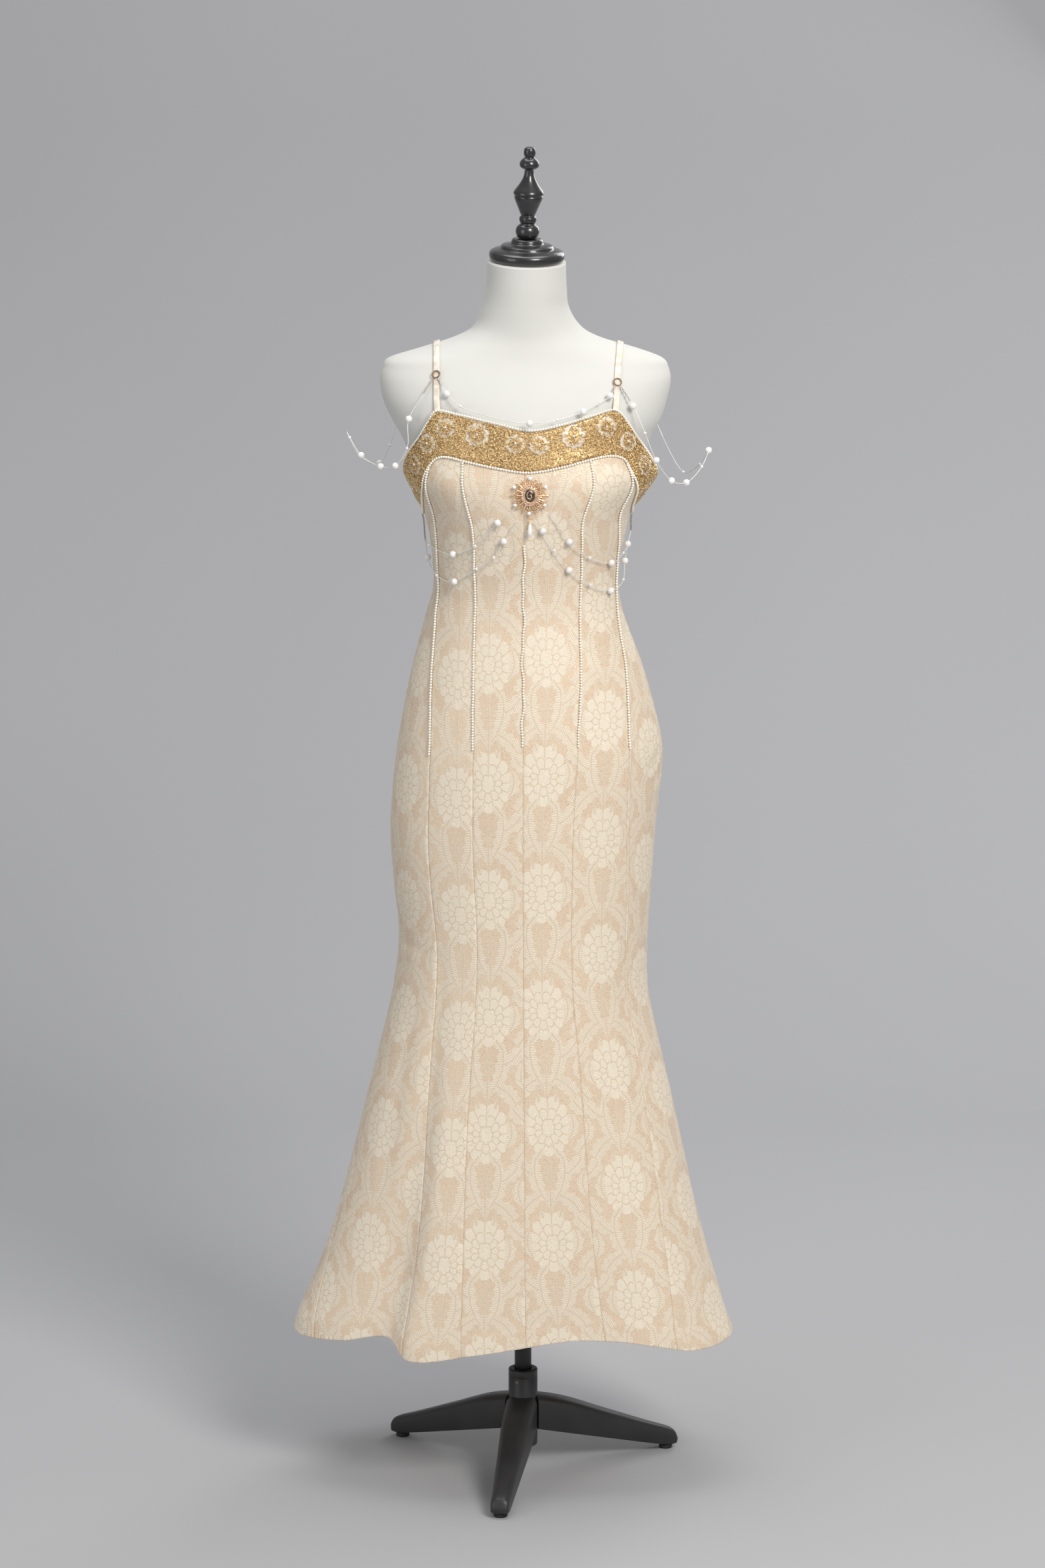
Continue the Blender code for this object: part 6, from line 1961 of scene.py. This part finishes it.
# %% Black lacquer
LACQUER = Finish("black_lacquer", Coat_Weight=0.8, Coat_Roughness=0.12)
grain_place = LACQUER.place()
grain = LACQUER.noise(grain_place, 60.0, 4.0)
LACQUER.feed("Base Color", LACQUER.mix(grain, (0.006, 0.006, 0.007), (0.018, 0.018, 0.020)))
LACQUER.feed("Roughness", 0.24 + grain * 0.16)
LACQUER.relief(grain, 0.00012)

BLACK_PAINT = Finish("black_stand_paint", Coat_Weight=0.15, Coat_Roughness=0.3)
powder_place = BLACK_PAINT.place()
powder = BLACK_PAINT.noise(powder_place, 1300.0, 2.0)
dust = BLACK_PAINT.noise(powder_place, 24.0, 3.0)
BLACK_PAINT.feed("Base Color", BLACK_PAINT.mix(dust, (0.010, 0.010, 0.011), (0.030, 0.030, 0.032)))
BLACK_PAINT.feed("Roughness", 0.38 + dust * 0.18)
BLACK_PAINT.relief(powder, 0.00010)

BLACK_RUBBER = Finish("black_rubber", Roughness=0.8)
rub = BLACK_RUBBER.noise(BLACK_RUBBER.place(), 700.0, 2.0)
BLACK_RUBBER.feed("Base Color", BLACK_RUBBER.mix(rub, (0.012, 0.012, 0.012), (0.035, 0.034, 0.033)))
BLACK_RUBBER.relief(rub, 0.0001)

# %% [markdown]
# The cap and the finial are turned on a lathe, so each is one profile swept round its axis.

# %% Neck cap and finial
CAP_PLACE = Matrix.Translation((NECK_MIDDLE[0] + POLE_X, NECK_MIDDLE[1] + POLE_Y, NECK_TOP + 2 * SEAM))
CAP_LEAN = CAP_PLACE @ Matrix.Rotation(CAP_TILT[1], 4, "Y") @ Matrix.Rotation(CAP_TILT[0], 4, "X")
CAP_PROFILE = [
    (0.0, 0.0285), (0.0100, 0.0285), (0.0165, 0.0284), (0.0188, 0.0272), (0.0197, 0.0255),
    (0.0203, 0.0230), (0.0225, 0.0216), (0.0290, 0.0205), (0.0320, 0.0195), (0.0332, 0.0178),
    (0.0340, 0.0160), (0.0385, 0.0149), (0.0430, 0.0135), (0.0460, 0.0117), (0.0473, 0.0095),
    (0.0476, 0.0065), (0.0470, 0.0035), (0.0455, 0.0012), (0.0425, 0.0), (0.0300, 0.0), (0.0, 0.0),
]
FINIAL_FOOT, FINIAL_PRESS = 0.0285 + SEAM, 0.82
FINIAL_PROFILE = [
    (0.0, 0.1400), (0.0025, 0.1399), (0.0048, 0.1392), (0.0064, 0.1377), (0.0072, 0.1355),
    (0.0075, 0.1320), (0.0072, 0.1285), (0.0061, 0.1262), (0.0063, 0.1247), (0.0098, 0.1218),
    (0.0117, 0.1185), (0.0123, 0.1150), (0.0116, 0.1118), (0.0092, 0.1094), (0.0061, 0.1076),
    (0.0058, 0.1045), (0.0069, 0.0980), (0.0094, 0.0918), (0.0127, 0.0858), (0.0160, 0.0808),
    (0.0183, 0.0772), (0.0190, 0.0742), (0.0186, 0.0724), (0.0173, 0.0712), (0.0178, 0.0696),
    (0.0172, 0.0650), (0.0150, 0.0590), (0.0122, 0.0515), (0.0098, 0.0450), (0.0087, 0.0424),
    (0.0097, 0.0408), (0.0106, 0.0395), (0.0108, 0.0365), (0.0104, 0.0335), (0.0091, 0.0312),
    (0.0104, 0.0292), (0.0135, 0.0262), (0.0150, 0.0205), (0.0146, 0.0160), (0.0130, 0.0125),
    (0.0105, 0.0104), (0.0, 0.0100),
]
FINIAL_PROFILE = [(r, FINIAL_FOOT + (h - 0.0100) * (0.14 / 0.13) * FINIAL_PRESS) for r, h in FINIAL_PROFILE]
for name, profile, node in (("neck_cap_turned", CAP_PROFILE, "neck_cap"), ("finial_turned", FINIAL_PROFILE, "finial")):
    mesh = turned_mesh(name, profile, 96, CAP_LEAN, between_rows=3)
    thing = piece(name, mesh, LACQUER)
    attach(thing, "form")
    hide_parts(node)

# %% [markdown]
# The stand is a tube that slides in a hub, on three cast legs with rubber feet. The legs get
# more sections than their solids and rounded shoulders, so light runs along them.

# %% Hub, pole and screw
POLE_RADIUS, BORE_GAP, HUB_RADIUS, HUB_TOP, HUB_FOOT, BORE_FLOOR = 0.011, 0.0004, 0.019, 0.134, 0.030, 0.036
SCREW_TURN, SCREW_HEIGHT, SCREW_RADIUS = -116.0, 0.118, 0.0022
POLE_PLACE = Matrix.Translation((POLE_X, POLE_Y, 0.0))
bore = POLE_RADIUS + BORE_GAP
hub_profile = [
    (0.0, BORE_FLOOR), (bore, BORE_FLOOR), (bore, HUB_TOP - 0.0006), (bore + 0.0006, HUB_TOP),
    (HUB_RADIUS - 0.0016, HUB_TOP), (HUB_RADIUS - 0.0005, HUB_TOP - 0.0005), (HUB_RADIUS, HUB_TOP - 0.0016),
    (HUB_RADIUS, HUB_TOP - 0.010), (HUB_RADIUS - 0.0005, HUB_TOP - 0.0106), (HUB_RADIUS - 0.0005, HUB_TOP - 0.0116),
    (HUB_RADIUS, HUB_TOP - 0.0122), (HUB_RADIUS, HUB_FOOT + 0.003), (HUB_RADIUS - 0.0006, HUB_FOOT + 0.001),
    (HUB_RADIUS - 0.002, HUB_FOOT), (0.0, HUB_FOOT),
]
hub = piece("hub_tube", turned_mesh("hub_tube", hub_profile, 72, POLE_PLACE, rounded=False), BLACK_PAINT)
pole_profile = [
    (0.0, 0.9197), (POLE_RADIUS - 0.0004, 0.9197), (POLE_RADIUS, 0.9192), (POLE_RADIUS, 0.5),
    (POLE_RADIUS, BORE_FLOOR + SEAM + 0.0005), (POLE_RADIUS - 0.0005, BORE_FLOOR + SEAM), (0.0, BORE_FLOOR + SEAM),
]
pole = piece("pole_tube", turned_mesh("pole_tube", pole_profile, 56, POLE_PLACE, rounded=False), BLACK_PAINT)
screw_profile = [
    (0.0, 0.0004), (0.0009, 0.0004), (0.0010, 0.0014), (0.0017, 0.0014), (0.0022, 0.0009), (0.0022, -0.0052),
    (0.0, -0.0052),
]
screw_spot = (
    Matrix.Rotation(math.radians(SCREW_TURN), 4, "Z")
    @ Matrix.Translation((HUB_RADIUS - 0.0012, 0, SCREW_HEIGHT))
    @ Matrix.Rotation(math.radians(90.0), 4, "Y")
)
screw = piece("clamp_screw_head", turned_mesh("clamp_screw_head", screw_profile, 32, POLE_PLACE @ screw_spot, rounded=False), ANTIQUE)
for thing, body, slot, node in (
    (hub, "stand", "black_stand", "stand_hub"), (pole, "mast", "black_stand", "pole"),
    (screw, "stand", "antique_metal", "clamp_screw"),
):
    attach(thing, body)
    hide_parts(node)
for thing in (hub, pole, screw):
    thing.data.set_sharp_from_angle(angle=math.radians(50.0))
print("pole", POLE_RADIUS * 2000, "mm thick")

# %% [markdown]
# Three curved legs carry the hub, and each stands on a rubber foot.

# %% Legs and feet
LEG_REACH = 0.219
LEG_TURNS = {"front": -98.0, "right": 22.0, "left": 142.0}
FOOT_AT, FOOT_RADIUS, FOOT_TALL = 0.2045, 0.0088, 0.0065
# distance from the pole, half width, underside, top
LEG_SECTIONS = (
    (0.0140, 0.0205, 0.0535, 0.0990), (0.0600, 0.0195, 0.0420, 0.0870), (0.1200, 0.0165, 0.0268, 0.0630),
    (0.1800, 0.0135, 0.0118, 0.0390), (0.2040, 0.0124, 0.0068, 0.0300), (0.2140, 0.0118, 0.0068, 0.0250),
    (LEG_REACH, 0.0095, 0.0080, 0.0170),
)


def leg_ring(half, under, top, shrink=0.0):
    """A leg's outline: flat sides, a rounded top and small round edges below."""
    half, top, under = half - shrink, top - shrink, under + shrink
    tall = top - under
    crown = min(0.010, 0.42 * tall)
    ring = [(half - 0.0022, under), (half - 0.0007, under + 0.0007), (half, under + 0.0022)]
    for a in np.linspace(0.0, math.pi / 2, 9):
        ring.append((half - (1 - math.cos(a)) * half * 0.72, top - crown + crown * math.sin(a)))
    return ring + [(-side, level) for side, level in reversed(ring)]


def leg_mesh(degrees):
    spots = np.concatenate([np.linspace(LEG_SECTIONS[0][0], 0.212, 40), np.linspace(0.2128, LEG_REACH, 9)])
    half, under, top = between(LEG_SECTIONS, spots)
    rings = []
    turn = math.radians(degrees)
    c, s = math.cos(turn), math.sin(turn)
    for along, h, u, t in zip(spots, half, under, top):
        shrink = 0.0016 * ease((along - (LEG_REACH - 0.0025)) / 0.0025) if along > LEG_REACH - 0.0025 else 0.0
        ring = leg_ring(float(h), float(u), float(t), float(shrink))
        rings.append([(c * along - s * side + POLE_X, s * along + c * side + POLE_Y, level) for side, level in ring])
    return lofted("leg", rings)


for label, degrees in LEG_TURNS.items():
    leg = piece(f"leg_{label}_casting", leg_mesh(degrees), BLACK_PAINT)
    leg.data.set_sharp_from_angle(angle=math.radians(50.0))
    turn = math.radians(degrees)
    spot = Matrix.Translation((POLE_X + FOOT_AT * math.cos(turn), POLE_Y + FOOT_AT * math.sin(turn), 0.0))
    profile = [(0.0, FOOT_TALL), (0.0080, FOOT_TALL), (0.0088, FOOT_TALL - 0.0008), (0.0088, 0.0010),
               (0.0080, 0.0), (0.0, 0.0)]
    foot = piece(f"foot_{label}_rubber", turned_mesh(f"foot_{label}_rubber", profile, 40, spot, rounded=False), BLACK_RUBBER)
    foot.data.set_sharp_from_angle(angle=math.radians(50.0))
    for thing, slot, node in ((leg, "black_stand", f"leg_{label}"), (foot, "rubber", f"foot_{label}")):
        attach(thing, "stand")
        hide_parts(node)
print("three legs reach", LEG_REACH * 1000, "mm from the pole")

# %% [markdown]
# The stage is a plain pale floor that runs up behind the dress in one sweep. Large soft lamps
# stand where studio lamps would, and the world fills in what they miss. The sweep is clear when
# it is seen from its back, or it would hide the dress from a camera behind it.

# %% Floor and lights
PALE = Finish("pale_floor", Roughness=0.8)
cast = PALE.noise(PALE.place(), 0.8, 2.0)
PALE.feed("Base Color", PALE.mix(cast, (0.42, 0.425, 0.44), (0.46, 0.465, 0.48)))
PALE.feed("Alpha", 1.0 - PALE.node("ShaderNodeNewGeometry", output="Backfacing"))

profile = [(-9.0, 0.0), (1.8, 0.0)]
profile += [(1.8 + 1.6 * math.sin(a), 1.6 - 1.6 * math.cos(a)) for a in np.linspace(0.1, math.pi / 2, 16)]
profile += [(3.4, 6.0)]
points, faces = [], []
for y, z in profile:
    points += [(-9.0, y, z), (9.0, y, z)]
for i in range(len(profile) - 1):
    faces.append((2 * i, 2 * i + 1, 2 * i + 3, 2 * i + 2))
floor = piece("floor", drawn("floor", points, faces), PALE)


def lamp(name, place, target, size, power, colour=(1.0, 1.0, 1.0)):
    light = bpy.data.lights.new(name, "AREA")
    light.shape = "RECTANGLE"
    light.size, light.size_y = size
    light.energy = power
    light.color = colour
    made = bpy.data.objects.new(name, light)
    made.location = place
    way = Vector(target) - Vector(place)
    made.rotation_euler = way.to_track_quat("-Z", "Y").to_euler()
    bpy.context.scene.collection.objects.link(made)


lamp("key", (2.0, -3.6, 3.7), (0, 0, 1.15), (1.6, 2.0), 172.0, (1.0, 0.97, 0.93))
lamp("fill", (-3.4, -3.2, 1.8), (0, 0, 0.9), (2.2, 2.8), 34.0)
lamp("top", (0.0, 0.2, 4.2), (0, 0, 1.0), (2.6, 2.0), 48.0)
lamp("back", (1.6, 2.6, 2.6), (0, 0, 1.2), (1.6, 2.0), 26.0)

world = bpy.data.worlds.new("studio")
bpy.context.scene.world = world
world.use_nodes = True
world.node_tree.nodes["Background"].inputs["Color"].default_value = (0.90, 0.90, 0.91, 1.0)
world.node_tree.nodes["Background"].inputs["Strength"].default_value = 0.40
# AgX would grey the creams and the gold, so colours are shown as they are
bpy.context.scene.view_settings.view_transform = "Standard"
print("stage is set")
